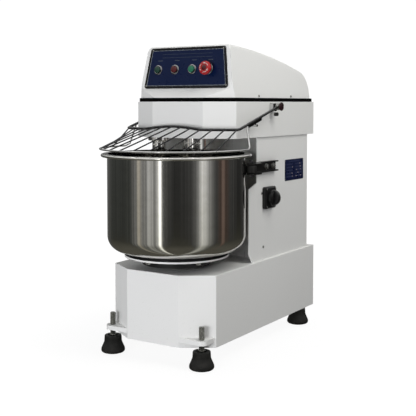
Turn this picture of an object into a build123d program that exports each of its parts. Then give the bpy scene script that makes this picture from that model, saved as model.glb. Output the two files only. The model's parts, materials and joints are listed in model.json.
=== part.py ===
from build123d import *
import math
import os

# Spiral dough mixer of the 30 litre class. Millimetres, +Z up, +Y to the back, Z = 0 is the
# floor, and X = Y = 0 is the middle of the footprint.
os.makedirs("parts", exist_ok=True)

# ---- Driving dimensions ----
SHEET = 2.5                      # thickness of the painted casing
GAP = 0.3                        # clearance between separate curved pieces
RUN = 0.05                       # radial running clearance of a shaft in its bore
BEND = 3.0                       # outside radius of a folded sheet corner
CUT = 1.0                        # how far a cut runs past a face

BOWL_Y = -162.5                  # the bowl turns about X = 0, Y = BOWL_Y
BOWL_R = 200.0
BOWL_SHEET = 2.0
BOWL_BOTTOM = 300.0
BOWL_TOP = 579.5
BOWL_CORNER = 45.0
RIM_R = 218.0
RIM_DROP = 8.5                   # height of the turned-down lip
RIM_ROUND = 1.5

HOOK_Y = -62.0                   # the hook turns about X = 0, Y = HOOK_Y
HOOK_SHAFT_R = 20.0
HOOK_SWEEP_R = 78.0
HOOK_ROD_R = 12.0
BAR_X, BAR_Y, BAR_R = -95.0, -118.0, 20.0

BACK = 385.0                     # rearmost face of base and head
BASE_SIDE, BASE_FACE, BASE_FRONT, BASE_SHOULDER = 176.0, 88.0, -284.0, -228.0
BASE_LOW, BASE_TOP = 53.0, 253.0
COLUMN_SIDE, COLUMN_BACK = 167.0, 351.0
SPLASH_R = 241.0                 # concave column front, about the bowl's axis
HEAD_SIDE, HEAD_FACE, HEAD_FRONT, HEAD_SHOULDER = 173.0, 88.0, -160.0, -117.5
HEAD_LOW, HEAD_TOP = 623.0, 728.0
HEAD_FLOOR = 4.0
GASKET_TOP = 739.0
COVER_TOP = 891.0

FEET = [(-154.0, -267.0), (154.0, -267.0), (-152.0, 316.0), (152.0, 316.0)]
FOOT_PLATE_LOW, FOOT_PLATE_THICK = 68.0, 13.0
STUD_R = 8.0
STUD_LOW, FRONT_STUD_TOP, REAR_STUD_TOP = 20.0, 117.0, 110.0

# Vertical shafts of the belt drive, from the motor to the bowl.
MOTOR_XY = (62.0, 262.0)
LAYSHAFT_XY = (-60.0, 185.0)
JACKSHAFT_XY = (60.0, 90.0)
HOOK_XY = (0.0, HOOK_Y)
BOWL_XY = (0.0, BOWL_Y)
BELT_HALF = 4.0                  # half the belt's depth
BELT_HIGH = 12.0
BELT_PITCH = 16.0
PULLEY_CHEEK = 1.5
FLANGE = 4.5                     # pulley flange above the belt's pitch circle
# Each drive: first axis and pitch radius, second axis and pitch radius, middle height.
MOTOR_DRIVE = (MOTOR_XY, 32.0, LAYSHAFT_XY, 100.0, 700.0)
HOOK_DRIVE = (LAYSHAFT_XY, 40.0, HOOK_XY, 90.0, 662.0)
TRANSFER_DRIVE = (LAYSHAFT_XY, 27.0, JACKSHAFT_XY, 90.0, 212.0)
BOWL_DRIVE = (JACKSHAFT_XY, 28.0, BOWL_XY, 112.0, 145.0)
DRIVES = [MOTOR_DRIVE, HOOK_DRIVE, TRANSFER_DRIVE, BOWL_DRIVE]
LAYSHAFT_R, JACKSHAFT_R, MOTOR_SHAFT_R, BOWL_SHAFT_R = 12.5, 14.0, 12.0, 22.0
SHAFT_HOLE_R = 20.0              # hole for the layshaft in the casing
BOWL_TUBE_R, HOOK_TUBE_R = 40.0, 42.0
HOUSING_FLANGE_R = 62.0
BAR_STEM_R = 10.0

ARM_X, ARM_R = 195.0, 4.0
PIVOT_Y, PIVOT_Z = 93.4, 713.4
CORNER_Y, CORNER_Z = -140.0, 649.0
KINK_X, KINK_Y = 95.0, -184.0
BAR_RISE = 8.0
RING_R, RING_Z, RING_WIRE_R = 220.0, 594.0, 2.5
RING_END_Y = -110.0
WIRE_R, WIRE_COUNT = 2.0, 13
WIRE_HEAD_X, WIRE_HEAD_STEP = 190.0, 31.5       # along the front bar, from the right
WIRE_FOOT_TURN, WIRE_FOOT_STEP = 63.0, 12.3     # round the ring, in degrees from the front
TAB_FRONT, TAB_BACK, TAB_DEPTH = -87.0, -11.0, 11.0
HANGER_Y = -97.0                 # where the ring hangs from the arms
STOP_Y, STOP_R = -45.0, 4.0

PANEL_LOW = (-119.0, 767.0)      # Y and Z of the control panel's lower edge
PANEL_HIGH = (-103.0, 887.0)
PANEL_HALF_LOW, PANEL_HALF_HIGH = 148.0, 131.0
PANEL_FRAME = 7.0
BUTTON_DROP = 5.0                # buttons sit this far below the panel's middle
BUTTONS = {"off_button": -40.0, "on_button": -100.0, "start_button": 21.0}
ESTOP_X = 77.0

SWITCH_Y, SWITCH_Z = 79.5, 439.0
PLATE_Y, PLATE_Z = (191.0, 319.0), (479.0, 546.0)

SCREW_R, SCREW_HIGH = 4.0, 2.5

BOTTOM = (Align.CENTER, Align.CENTER, Align.MIN)


def save(piece, name):
    """Label one finished piece and write it."""
    piece.label = name
    export_step(piece, f"parts/{name}.step")


def rod(start, end, radius):
    """Add a round bar between two points to the part in hand."""
    way = Vector(*end) - Vector(*start)
    with Locations(Plane(origin=start, z_dir=way)):
        Cylinder(radius, way.length, align=BOTTOM)


def post(x, y, low, high, radius, mode=Mode.ADD):
    """Add or cut an upright cylinder between two heights."""
    with Locations((x, y, low)):
        Cylinder(radius, high - low, align=BOTTOM, mode=mode)


def block(low, high, mode=Mode.ADD):
    """Add or cut a box between two opposite corners."""
    size = [high[i] - low[i] for i in range(3)]
    with Locations(tuple(low)):
        Box(*size, align=(Align.MIN, Align.MIN, Align.MIN), mode=mode)


def hexagon(plane, flats, height):
    """Add a hexagonal head, nut or boss on a plane."""
    with BuildSketch(plane) as outline:
        RegularPolygon(flats / math.sqrt(3), 6)
    extrude(outline.sketch, amount=height)


def casing_outline(side, face, front, shoulder, back):
    """Plan of a casing whose two front corners are cut off."""
    half = [(face, front), (side, shoulder), (side, back)]
    return half + [(-x, y) for x, y in reversed(half)]


def rounded_plan(points, inset, radius=BEND):
    """Filleted casing plan, moved inwards by inset."""
    with BuildSketch(mode=Mode.PRIVATE) as plan:
        Polygon(*points, align=None)
        fillet(plan.vertices(), radius)
        if inset:
            offset(amount=-inset)
    return plan.sketch


def raised(sketch, height):
    """The same plan at another height."""
    return Pos(0, 0, height) * sketch


BASE_PLAN = casing_outline(BASE_SIDE, BASE_FACE, BASE_FRONT, BASE_SHOULDER, BACK)
HEAD_PLAN = casing_outline(HEAD_SIDE, HEAD_FACE, HEAD_FRONT, HEAD_SHOULDER, BACK)

# ---- Base ----
BASE_ROUND = 2.0
with BuildPart() as base_shell:
    extrude(raised(rounded_plan(BASE_PLAN, 0), BASE_LOW), amount=BASE_TOP - BASE_LOW)
    fillet(base_shell.faces().sort_by(Axis.Z)[-1].edges(), BASE_ROUND)
    extrude(
        raised(rounded_plan(BASE_PLAN, SHEET), BASE_LOW),
        amount=BASE_TOP - BASE_LOW - SHEET,
        mode=Mode.SUBTRACT,
    )
    roof = (BASE_TOP - SHEET - CUT, BASE_TOP + CUT)
    post(*BOWL_XY, *roof, BOWL_TUBE_R + GAP, mode=Mode.SUBTRACT)
    post(*LAYSHAFT_XY, *roof, SHAFT_HOLE_R, mode=Mode.SUBTRACT)
save(base_shell.part, "base_shell")

FLOOR_THICK = 6.0
VENTS, VENT_R = [(-100.0, 120.0), (100.0, -20.0), (-100.0, -120.0)], 25.0
with BuildPart() as base_floor_plate:
    extrude(raised(rounded_plan(BASE_PLAN, SHEET), BASE_LOW), amount=FLOOR_THICK)
    holes = [(*foot, STUD_R + RUN) for foot in FEET[2:]] + [(*vent, VENT_R) for vent in VENTS]
    for hole_x, hole_y, hole_r in holes:
        post(hole_x, hole_y, BASE_LOW - CUT, BASE_LOW + FLOOR_THICK + CUT, hole_r, Mode.SUBTRACT)
save(base_floor_plate.part, "base_floor_plate")

PLATE_EYE = 10.0                 # metal round the stud
PLATE_ROOT = [(92.0, -281.6), (172.0, -230.7), (160.0, -250.0)]   # along the casing's corner
with BuildPart() as foot_brackets:
    for foot_x, foot_y in FEET[:2]:
        turn = math.copysign(1, foot_x)
        with BuildSketch(Plane.XY.offset(FOOT_PLATE_LOW)):
            with Locations((foot_x, foot_y)):
                Circle(STUD_R + PLATE_EYE)
            Polygon(*[(turn * root_x, root_y) for root_x, root_y in PLATE_ROOT], align=None)
            make_hull()
            with Locations((foot_x, foot_y)):
                Circle(STUD_R + RUN, mode=Mode.SUBTRACT)
        extrude(amount=FOOT_PLATE_THICK)
save(foot_brackets.part, "foot_brackets")

SOLE_R, SOLE_EDGE, SOLE_SIDE = 27.0, (33.0, 3.0), (34.5, 8.0)
BELL = [(34.0, 14.0), (24.0, 34.0), (22.5, 51.0)]   # radius and height, sole to top
with BuildPart() as rubber_feet:
    for foot_x, foot_y in FEET:
        with BuildSketch(Plane.XZ.offset(-foot_y)) as section:
            with BuildLine():
                Line((0, 0), (SOLE_R, 0))
                ThreePointArc((SOLE_R, 0), SOLE_EDGE, SOLE_SIDE)
                Polyline(SOLE_SIDE, *BELL, (0, BELL[-1][1]), (0, 0))
            make_face()
        revolve(
            Pos(foot_x, 0, 0) * section.sketch,
            axis=Axis((foot_x, foot_y, 0), (0, 0, 1)),
        )
        post(foot_x, foot_y, STUD_LOW, BELL[-1][1] + CUT, STUD_R, mode=Mode.SUBTRACT)
save(rubber_feet.part, "rubber_feet")

REAR_NUT, REAR_NUT_HIGH = 24.0, 13.0
with BuildPart() as foot_studs:
    for foot_x, foot_y in FEET:
        post(foot_x, foot_y, STUD_LOW, FRONT_STUD_TOP if foot_y < 0 else REAR_STUD_TOP, STUD_R)
        if foot_y > 0:
            hexagon(Plane((foot_x, foot_y, BASE_LOW + FLOOR_THICK)), REAR_NUT, REAR_NUT_HIGH)
save(foot_studs.part, "foot_studs")

# ---- Column ----
GUSSET_FRONT, GUSSET_LOW, GUSSET_HIGH = -35.0, 282.0, 472.0
GUSSET_TOE, GUSSET_RISE = -14.0, 15.0
REAR_OPENING_HALF, REAR_OPENING_Z = 125.0, (305.0, 575.0)
SWITCH_TUBE_R, SWITCH_TUBE_DEEP = 18.0, 36.0
ARC_EDGE_Y = BOWL_Y + math.sqrt(SPLASH_R**2 - COLUMN_SIDE**2)
with BuildPart() as column_shell:
    with BuildSketch(Plane.XY.offset(BASE_TOP)) as plan:
        with BuildLine():
            Polyline(
                (-COLUMN_SIDE, ARC_EDGE_Y),
                (-COLUMN_SIDE, COLUMN_BACK),
                (COLUMN_SIDE, COLUMN_BACK),
                (COLUMN_SIDE, ARC_EDGE_Y),
                (COLUMN_SIDE - SHEET, ARC_EDGE_Y),
                (COLUMN_SIDE - SHEET, COLUMN_BACK - SHEET),
                (-COLUMN_SIDE + SHEET, COLUMN_BACK - SHEET),
                (-COLUMN_SIDE + SHEET, ARC_EDGE_Y),
                close=True,
            )
        make_face()
        fillet(plan.vertices().group_by(Axis.Y)[-1], BEND)
    extrude(amount=HEAD_LOW - BASE_TOP)
    for side in (-1, 1):
        with BuildSketch(Plane.YZ.offset(side * COLUMN_SIDE)):
            Polygon(
                (ARC_EDGE_Y, BASE_TOP),
                (GUSSET_TOE, BASE_TOP),
                (GUSSET_FRONT, GUSSET_LOW),
                (GUSSET_FRONT, GUSSET_HIGH),
                (ARC_EDGE_Y, GUSSET_HIGH + GUSSET_RISE),
                align=None,
            )
        extrude(amount=-side * SHEET)
    block(
        (-REAR_OPENING_HALF, COLUMN_BACK - SHEET - CUT, REAR_OPENING_Z[0]),
        (REAR_OPENING_HALF, COLUMN_BACK + CUT, REAR_OPENING_Z[1]),
        mode=Mode.SUBTRACT,
    )
    with Locations(Plane(origin=(COLUMN_SIDE, SWITCH_Y, SWITCH_Z), z_dir=(1, 0, 0))):
        Cylinder(SWITCH_TUBE_R + 2, 2 * (SHEET + CUT), mode=Mode.SUBTRACT)
save(column_shell.part, "column_shell")

SPLASH_THICK = 1.5
with BuildPart() as splash_panel:
    with BuildSketch(Plane.XY.offset(BASE_TOP)):
        with Locations(BOWL_XY):
            Circle(SPLASH_R)
            Circle(SPLASH_R - SPLASH_THICK, mode=Mode.SUBTRACT)
        with Locations((0, BOWL_Y + SPLASH_R)):
            Rectangle(
                2 * (COLUMN_SIDE - SHEET),
                2 * SPLASH_R,
                mode=Mode.INTERSECT,
            )
    extrude(amount=HEAD_LOW - BASE_TOP)
save(splash_panel.part, "splash_panel")

REAR_COVER_WIDE, REAR_COVER_HIGH, REAR_COVER_Z, REAR_COVER_THICK = 280.0, 300.0, 440.0, 2.0
REAR_COVER_CORNER = 8.0
LOUVRE_X, LOUVRE_WIDE, LOUVRE_HIGH = 62.0, 90.0, 6.0
LOUVRE_LOW, LOUVRE_STEP, LOUVRE_ROWS = 350.0, 18.0, 9
HOOD_OUT, HOOD_THICK, HOOD_RISE = 6.0, 2.0, 4.5
louvre_rows = [LOUVRE_LOW + LOUVRE_STEP * row for row in range(LOUVRE_ROWS)]
louvres = [(x, z) for z in louvre_rows for x in (-LOUVRE_X, LOUVRE_X)]
with BuildPart() as rear_cover:
    with BuildSketch(Plane.XZ.offset(-COLUMN_BACK)):
        with Locations((0, REAR_COVER_Z)):
            RectangleRounded(REAR_COVER_WIDE, REAR_COVER_HIGH, REAR_COVER_CORNER)
        with Locations(*louvres):
            SlotOverall(LOUVRE_WIDE, LOUVRE_HIGH, mode=Mode.SUBTRACT)
    extrude(amount=-REAR_COVER_THICK)
    with Locations(*[(x, COLUMN_BACK + REAR_COVER_THICK, z + HOOD_RISE) for x, z in louvres]):
        Box(LOUVRE_WIDE, HOOD_OUT, HOOD_THICK, align=(Align.CENTER, Align.MIN, Align.CENTER))
save(rear_cover.part, "rear_cover")

# ---- Head ----
HEAD_LEDGE = 24.0                # the ledge under the gasket reaches this far in
CABLE_HOLE_XY, CABLE_HOLE_R, MOTOR_HOLE_R = (-110.0, 250.0), 15.0, 26.0
HEAD_HOLES = [
    (*HOOK_XY, HOOK_TUBE_R + RUN),
    (*LAYSHAFT_XY, SHAFT_HOLE_R),
    (*MOTOR_XY, MOTOR_HOLE_R),
    (BAR_X, BAR_Y, BAR_STEM_R + RUN),
    (*CABLE_HOLE_XY, CABLE_HOLE_R),
]
with BuildPart() as head_shell:
    extrude(raised(rounded_plan(HEAD_PLAN, 0), HEAD_LOW), amount=HEAD_TOP - HEAD_LOW)
    extrude(
        raised(rounded_plan(HEAD_PLAN, SHEET), HEAD_LOW + HEAD_FLOOR),
        amount=HEAD_TOP - HEAD_LOW,
        mode=Mode.SUBTRACT,
    )
    extrude(raised(rounded_plan(HEAD_PLAN, SHEET), HEAD_TOP - SHEET), amount=SHEET)
    extrude(
        raised(rounded_plan(HEAD_PLAN, HEAD_LEDGE), HEAD_TOP - SHEET),
        amount=SHEET,
        mode=Mode.SUBTRACT,
    )
    for hole_x, hole_y, hole_r in HEAD_HOLES:
        post(hole_x, hole_y, HEAD_LOW - CUT, HEAD_LOW + HEAD_FLOOR + CUT, hole_r, Mode.SUBTRACT)
save(head_shell.part, "head_shell")

GASKET_OUTER, GASKET_OUTER_CORNER = 3.5, 8.0
GASKET_INNER, GASKET_INNER_CORNER = 14.0, 16.0
GASKET_BACK, GASKET_TAIL, GASKET_TAIL_HALF = 375.0, 13.0, 150.0
gasket_high = GASKET_TOP - HEAD_TOP
with BuildPart() as head_gasket:
    extrude(
        raised(rounded_plan(HEAD_PLAN, GASKET_OUTER, GASKET_OUTER_CORNER), HEAD_TOP),
        amount=gasket_high,
    )
    extrude(
        raised(rounded_plan(HEAD_PLAN, GASKET_INNER, GASKET_INNER_CORNER), HEAD_TOP),
        amount=gasket_high,
        mode=Mode.SUBTRACT,
    )
    block((-HEAD_SIDE, GASKET_BACK, HEAD_TOP), (HEAD_SIDE, BACK, GASKET_TOP), Mode.SUBTRACT)
    block(
        (-GASKET_TAIL_HALF, GASKET_BACK - GASKET_TAIL, HEAD_TOP),
        (GASKET_TAIL_HALF, GASKET_BACK, GASKET_TOP),
    )
save(head_gasket.part, "head_gasket")

COVER_SIDE, COVER_FACE, COVER_FRONT, COVER_SHOULDER, COVER_BACK = 167.0, 85.0, -155.0, -112.0, 374.0
COVER_CORNER, COVER_SHEET, ROOF_ROUND = 10.0, 3.0, 9.0
ROOF_HALF = 141.0                # half width of the cover where its sloping sides end
SLOPE_LOW, SLOPE_HIGH = GASKET_TOP - 5, COVER_TOP + 10
SLOPE = (COVER_SIDE - ROOF_HALF) / (SLOPE_HIGH - SLOPE_LOW)
BROW = [(-101.0, COVER_TOP - 2), (-97.0, COVER_TOP)]
ROOF_MIDDLE, ROOF_BREAK = (115.0, 870.0), (322.0, 828.0)
TAIL_MIDDLE, TAIL_END = (358.0, 808.0), (COVER_BACK, 770.0)


def cover_form(inset, roof_radius):
    """Solid form of the top cover, moved inwards by inset."""
    with BuildPart() as form:
        with BuildSketch(Plane.YZ.offset(-COVER_SIDE - CUT)):
            with BuildLine():
                Polyline(
                    (COVER_BACK, GASKET_TOP),
                    (COVER_FRONT, GASKET_TOP),
                    PANEL_LOW,
                    PANEL_HIGH,
                    *BROW,
                )
                ThreePointArc(BROW[-1], ROOF_MIDDLE, ROOF_BREAK)
                ThreePointArc(ROOF_BREAK, TAIL_MIDDLE, TAIL_END)
                Line(TAIL_END, (COVER_BACK, GASKET_TOP))
            make_face()
            if inset:
                offset(amount=-inset)
        extrude(amount=2 * (COVER_SIDE + CUT))
        with BuildSketch(Plane.XZ.offset(-COVER_BACK - CUT)):
            Polygon(
                (-COVER_SIDE + inset, SLOPE_LOW),
                (COVER_SIDE - inset, SLOPE_LOW),
                (ROOF_HALF - inset, SLOPE_HIGH),
                (-ROOF_HALF + inset, SLOPE_HIGH),
                align=None,
            )
        extrude(amount=COVER_BACK - COVER_FRONT + 2 * CUT, mode=Mode.INTERSECT)
        plan = casing_outline(COVER_SIDE, COVER_FACE, COVER_FRONT, COVER_SHOULDER, COVER_BACK)
        extrude(
            raised(rounded_plan(plan, inset, COVER_CORNER), SLOPE_LOW),
            amount=SLOPE_HIGH - SLOPE_LOW,
            mode=Mode.INTERSECT,
        )
        if roof_radius:
            crown = form.faces().filter_by(lambda face: face.normal_at().Z > 0.2)
            crown = crown.sort_by(Axis.Z)[-3:]
            sides = form.faces().filter_by(lambda face: abs(face.normal_at().X) > 0.95)
            seams = [
                edge for edge in form.edges()
                if any(edge in face.edges() for face in crown)
                and any(edge in face.edges() for face in sides)
            ]
            fillet(seams, roof_radius)
        if inset:
            extrude(form.faces().sort_by(Axis.Z)[0], amount=2 * inset)
    return form.part


PANEL_CORNER, PANEL_INNER_CORNER, PANEL_CUTOUT = 9.0, 5.0, 10.0
PANEL_MID = ((PANEL_LOW[0] + PANEL_HIGH[0]) / 2, (PANEL_LOW[1] + PANEL_HIGH[1]) / 2)
PANEL_UP = (0, PANEL_HIGH[0] - PANEL_LOW[0], PANEL_HIGH[1] - PANEL_LOW[1])
PANEL_HALF = math.hypot(*PANEL_UP) / 2
panel_plane = Plane(
    origin=(0, *PANEL_MID),
    x_dir=(1, 0, 0),
    z_dir=(0, -PANEL_UP[2], PANEL_UP[1]),
)


def panel_outline(inset, radius):
    """Trapezium of the control panel on its own plane, moved inwards by inset."""
    with BuildSketch(mode=Mode.PRIVATE) as outline:
        Polygon(
            (-PANEL_HALF_LOW, -PANEL_HALF),
            (PANEL_HALF_LOW, -PANEL_HALF),
            (PANEL_HALF_HIGH, PANEL_HALF),
            (-PANEL_HALF_HIGH, PANEL_HALF),
            align=None,
        )
        if inset:
            offset(amount=-inset)
        fillet(outline.vertices(), radius)
    return panel_plane * outline.sketch


cover_skin = cover_form(0, ROOF_ROUND) - cover_form(COVER_SHEET, 0)
with BuildPart() as top_cover:
    add(cover_skin)
    extrude(
        panel_outline(PANEL_CUTOUT, PANEL_INNER_CORNER),
        amount=2 * COVER_SHEET,
        both=True,
        mode=Mode.SUBTRACT,
    )
save(top_cover.part, "top_cover")

# ---- Control panel ----
PANEL_THICK = 1.5
FRAME_THICK = 2.5
BARREL_R, BEZEL_R, CAP_R, STEM_R = 11.0, 14.5, 10.0, 5.0
BEZEL_HIGH, CAP_SEAT, CAP_TRAVEL = 5.0, 0.5, 4.0
BARREL_DEEP = 16.0
ESTOP_BEZEL_R, ESTOP_BEZEL_HIGH = 16.0, 7.0
ESTOP_R, ESTOP_BACK, ESTOP_HIGH, ESTOP_ROUND = 20.0, 14.0, 13.0, 5.0
BUTTON_V = -BUTTON_DROP
button_spots = [(x, BUTTON_V) for x in BUTTONS.values()]
all_spots = button_spots + [(ESTOP_X, BUTTON_V)]

with BuildPart() as control_panel_frame:
    extrude(panel_outline(0, PANEL_CORNER), amount=FRAME_THICK)
    extrude(
        panel_outline(PANEL_FRAME, PANEL_INNER_CORNER),
        amount=FRAME_THICK,
        mode=Mode.SUBTRACT,
    )
save(control_panel_frame.part, "control_panel_frame")

with BuildPart() as control_panel_plate:
    extrude(panel_outline(PANEL_FRAME + RUN, PANEL_INNER_CORNER), amount=PANEL_THICK)
    with Locations(panel_plane):
        with Locations(*all_spots):
            Cylinder(BARREL_R + RUN, 4 * PANEL_THICK, mode=Mode.SUBTRACT)
save(control_panel_plate.part, "control_panel_plate")

with BuildPart() as button_bezels:
    with Locations(panel_plane):
        with Locations(*[(*spot, PANEL_THICK) for spot in button_spots]):
            Cylinder(BEZEL_R, BEZEL_HIGH, align=BOTTOM)
        with Locations((ESTOP_X, BUTTON_V, PANEL_THICK)):
            Cylinder(ESTOP_BEZEL_R, ESTOP_BEZEL_HIGH, align=BOTTOM)
        with Locations(*[(*spot, -BARREL_DEEP) for spot in all_spots]):
            Cylinder(BARREL_R, BARREL_DEEP + 2 * PANEL_THICK, align=BOTTOM)
        with Locations(*[(*spot, 0) for spot in all_spots]):
            Cylinder(STEM_R + RUN, 3 * BARREL_DEEP, mode=Mode.SUBTRACT)
        with Locations(*[(*spot, PANEL_THICK + CAP_SEAT) for spot in button_spots]):
            Cylinder(CAP_R + GAP, BEZEL_HIGH, align=BOTTOM, mode=Mode.SUBTRACT)
save(button_bezels.part, "button_bezels")

CAP_BACK = PANEL_THICK + CAP_SEAT + CAP_TRAVEL
CAP_THICK, CAP_ROUND = 4.0, 1.0
STEM_BACK = -22.0
for name, spot_x in BUTTONS.items():
    with BuildPart() as button:
        with Locations(panel_plane):
            with Locations((spot_x, BUTTON_V, CAP_BACK)):
                Cylinder(CAP_R, CAP_THICK, align=BOTTOM)
            with Locations((spot_x, BUTTON_V, STEM_BACK)):
                Cylinder(STEM_R, CAP_BACK - STEM_BACK, align=BOTTOM)
        fillet(button.faces().sort_by(Axis.Y)[0].edges(), CAP_ROUND)
    save(button.part, name)

with BuildPart() as estop_button:
    with Locations(panel_plane):
        with Locations((ESTOP_X, BUTTON_V, ESTOP_BACK)):
            Cylinder(ESTOP_R, ESTOP_HIGH, align=BOTTOM)
        with Locations((ESTOP_X, BUTTON_V, STEM_BACK)):
            Cylinder(STEM_R, ESTOP_BACK - STEM_BACK, align=BOTTOM)
    fillet(estop_button.faces().sort_by(Axis.Y)[0].edges(), ESTOP_ROUND)
save(estop_button.part, "estop_button")

BLOCK_FRONT, BLOCK_WIDE, BLOCK_TALL, BLOCK_DEEP = -34.0, 28.0, 40.0, 36.0
YOKE_WIDE, YOKE_TALL, YOKE_GAP = 24.0, 5.0, 1.0
BEHIND = (Align.CENTER, Align.CENTER, Align.MAX)
with BuildPart() as contact_blocks:
    with Locations(panel_plane):
        with Locations(*[(*spot, BLOCK_FRONT) for spot in all_spots]):
            Box(BLOCK_WIDE, BLOCK_TALL, BLOCK_DEEP, align=BEHIND)
            Box(YOKE_WIDE, YOKE_TALL, -BLOCK_FRONT - BARREL_DEEP - YOKE_GAP, align=BOTTOM)
            Cylinder(STEM_R + YOKE_GAP, -2 * BLOCK_FRONT, mode=Mode.SUBTRACT)
save(contact_blocks.part, "contact_blocks")

# ---- Column fittings ----
side_plane = Plane(origin=(COLUMN_SIDE, SWITCH_Y, SWITCH_Z), x_dir=(0, 1, 0), z_dir=(1, 0, 0))
SWITCH_SIZE, SWITCH_CORNER, SWITCH_THICK, SWITCH_ROUND = 66.0, 5.0, 14.0, 2.0
SPINDLE_R = 4.0
with BuildPart() as main_switch_body:
    with BuildSketch(side_plane):
        RectangleRounded(SWITCH_SIZE, SWITCH_SIZE, SWITCH_CORNER)
    extrude(amount=SWITCH_THICK)
    fillet(main_switch_body.faces().sort_by(Axis.X)[-1].edges(), SWITCH_ROUND)
    with Locations(side_plane):
        with Locations((0, 0, -SWITCH_TUBE_DEEP)):
            Cylinder(SWITCH_TUBE_R, SWITCH_TUBE_DEEP, align=BOTTOM)
        Cylinder(SPINDLE_R + RUN, 3 * SWITCH_TUBE_DEEP, mode=Mode.SUBTRACT)
save(main_switch_body.part, "main_switch_body")

KNOB_R, KNOB_THICK, KNOB_HIGH = 24.0, 9.0, 28.0
GRIP_THICK, SPINDLE_BACK = 13.0, -20.0
KNOB_BACK = SWITCH_THICK + GAP
with BuildPart() as main_switch_knob:
    with Locations(side_plane):
        with Locations((0, 0, KNOB_BACK + KNOB_HIGH - KNOB_R)):
            Cylinder(KNOB_R, GRIP_THICK, rotation=(0, 90, 0))
        with Locations((0, 0, KNOB_BACK)):
            Cylinder(KNOB_R, KNOB_HIGH, align=BOTTOM, mode=Mode.INTERSECT)
            Cylinder(KNOB_R, KNOB_THICK, align=BOTTOM)
        with Locations((0, 0, SPINDLE_BACK)):
            Cylinder(SPINDLE_R, KNOB_BACK - SPINDLE_BACK, align=BOTTOM)
save(main_switch_knob.part, "main_switch_knob")

PLATE_CORNER, PLATE_THICK = 3.0, 1.0
with BuildPart() as rating_plate:
    plate_mid = (sum(PLATE_Y) / 2, sum(PLATE_Z) / 2)
    with BuildSketch(Plane.YZ.offset(COLUMN_SIDE)):
        with Locations(plate_mid):
            RectangleRounded(PLATE_Y[1] - PLATE_Y[0], PLATE_Z[1] - PLATE_Z[0], PLATE_CORNER)
    extrude(amount=PLATE_THICK)
save(rating_plate.part, "rating_plate")

BRACKET_Z, BRACKET_SHEET, BRACKET_OUT = (518.0, 550.0), 4.0, 205.0
BRACKET_BACK, WEB_FRONT = 122.0, -44.0
BRACKET_WAIST_X, BRACKET_WAIST_Y, BRACKET_TAPER = 181.0, -25.0, 30.0
BRACKET_BOWL_GAP = 4.0
ROLLER_X, ROLLER_Y, ROLLER_R, ROLLER_ROUND = 190.0, -61.0, 15.0, 1.5
ROLLER_Z = (523.0, 545.0)
PIN_R, PIN_BELOW, PIN_ABOVE = 5.0, 9.0, 10.0
PIN_NUT, PIN_NUT_LOW, PIN_NUT_HIGH = 13.0, 7.0, 8.0
with BuildPart() as roller_brackets:
    for side in (-1, 1):
        for low in (BRACKET_Z[0], BRACKET_Z[1] - BRACKET_SHEET):
            with BuildSketch(Plane.XY.offset(low)):
                Polygon(
                    (side * COLUMN_SIDE, ROLLER_Y),
                    (side * BRACKET_OUT, ROLLER_Y),
                    (side * BRACKET_OUT, BRACKET_WAIST_Y),
                    (side * BRACKET_WAIST_X, BRACKET_WAIST_Y + BRACKET_TAPER),
                    (side * BRACKET_WAIST_X, BRACKET_BACK),
                    (side * COLUMN_SIDE, BRACKET_BACK),
                    align=None,
                )
                with Locations((side * ROLLER_X, ROLLER_Y)):
                    Circle(ROLLER_R)
                    Circle(PIN_R + RUN, mode=Mode.SUBTRACT)
                with Locations(BOWL_XY):
                    Circle(BOWL_R + BRACKET_BOWL_GAP, mode=Mode.SUBTRACT)
            extrude(amount=BRACKET_SHEET)
        web_x = sorted((side * COLUMN_SIDE, side * (COLUMN_SIDE + BRACKET_SHEET)))
        block((web_x[0], WEB_FRONT, BRACKET_Z[0]), (web_x[1], BRACKET_BACK, BRACKET_Z[1]))
save(roller_brackets.part, "roller_brackets")

with BuildPart() as roller_pins:
    for side in (-1, 1):
        axis = (side * ROLLER_X, ROLLER_Y)
        post(*axis, BRACKET_Z[0] - PIN_BELOW, BRACKET_Z[1] + PIN_ABOVE, PIN_R)
        hexagon(Plane((*axis, BRACKET_Z[1])), PIN_NUT, PIN_NUT_HIGH)
        hexagon(Plane((*axis, BRACKET_Z[0] - PIN_NUT_LOW)), PIN_NUT, PIN_NUT_LOW)
save(roller_pins.part, "roller_pins")

for side, name in ((-1, "guide_roller_left"), (1, "guide_roller_right")):
    with BuildPart() as roller:
        post(side * ROLLER_X, ROLLER_Y, *ROLLER_Z, ROLLER_R)
        fillet(roller.edges(), ROLLER_ROUND)
        post(side * ROLLER_X, ROLLER_Y, *BRACKET_Z, PIN_R + RUN, mode=Mode.SUBTRACT)
    save(roller.part, name)

BOLT_YS, BOLT_HEAD, BOLT_HEAD_HIGH = (62.0, 104.0), 13.0, 6.0
with BuildPart() as bracket_bolts:
    for side in (-1, 1):
        for bolt_y in BOLT_YS:
            seat = (side * (COLUMN_SIDE + BRACKET_SHEET), bolt_y, sum(BRACKET_Z) / 2)
            hexagon(Plane(origin=seat, z_dir=(side, 0, 0)), BOLT_HEAD, BOLT_HEAD_HIGH)
save(bracket_bolts.part, "bracket_bolts")

GLAND_X, GLAND_Z, GLAND_BORE_R = -120.0, 272.0, 5.0
# Steps of the gland: radius and length, from the nut outwards.
GLAND_NUT, GLAND_NUT_HIGH = 26.0, 8.0
GLAND_STEPS = [(11.0, 14.0), (8.0, 5.0)]
gland_plane = Plane(origin=(GLAND_X, COLUMN_BACK, GLAND_Z), z_dir=(0, 1, 0))
with BuildPart() as cable_gland:
    hexagon(gland_plane, GLAND_NUT, GLAND_NUT_HIGH)
    reach = GLAND_NUT_HIGH
    with Locations(gland_plane):
        for step_r, step_long in GLAND_STEPS:
            with Locations((0, 0, reach)):
                Cylinder(step_r, step_long, align=BOTTOM)
            reach += step_long
        Cylinder(GLAND_BORE_R, 3 * reach, mode=Mode.SUBTRACT)
save(cable_gland.part, "cable_gland")


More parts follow.
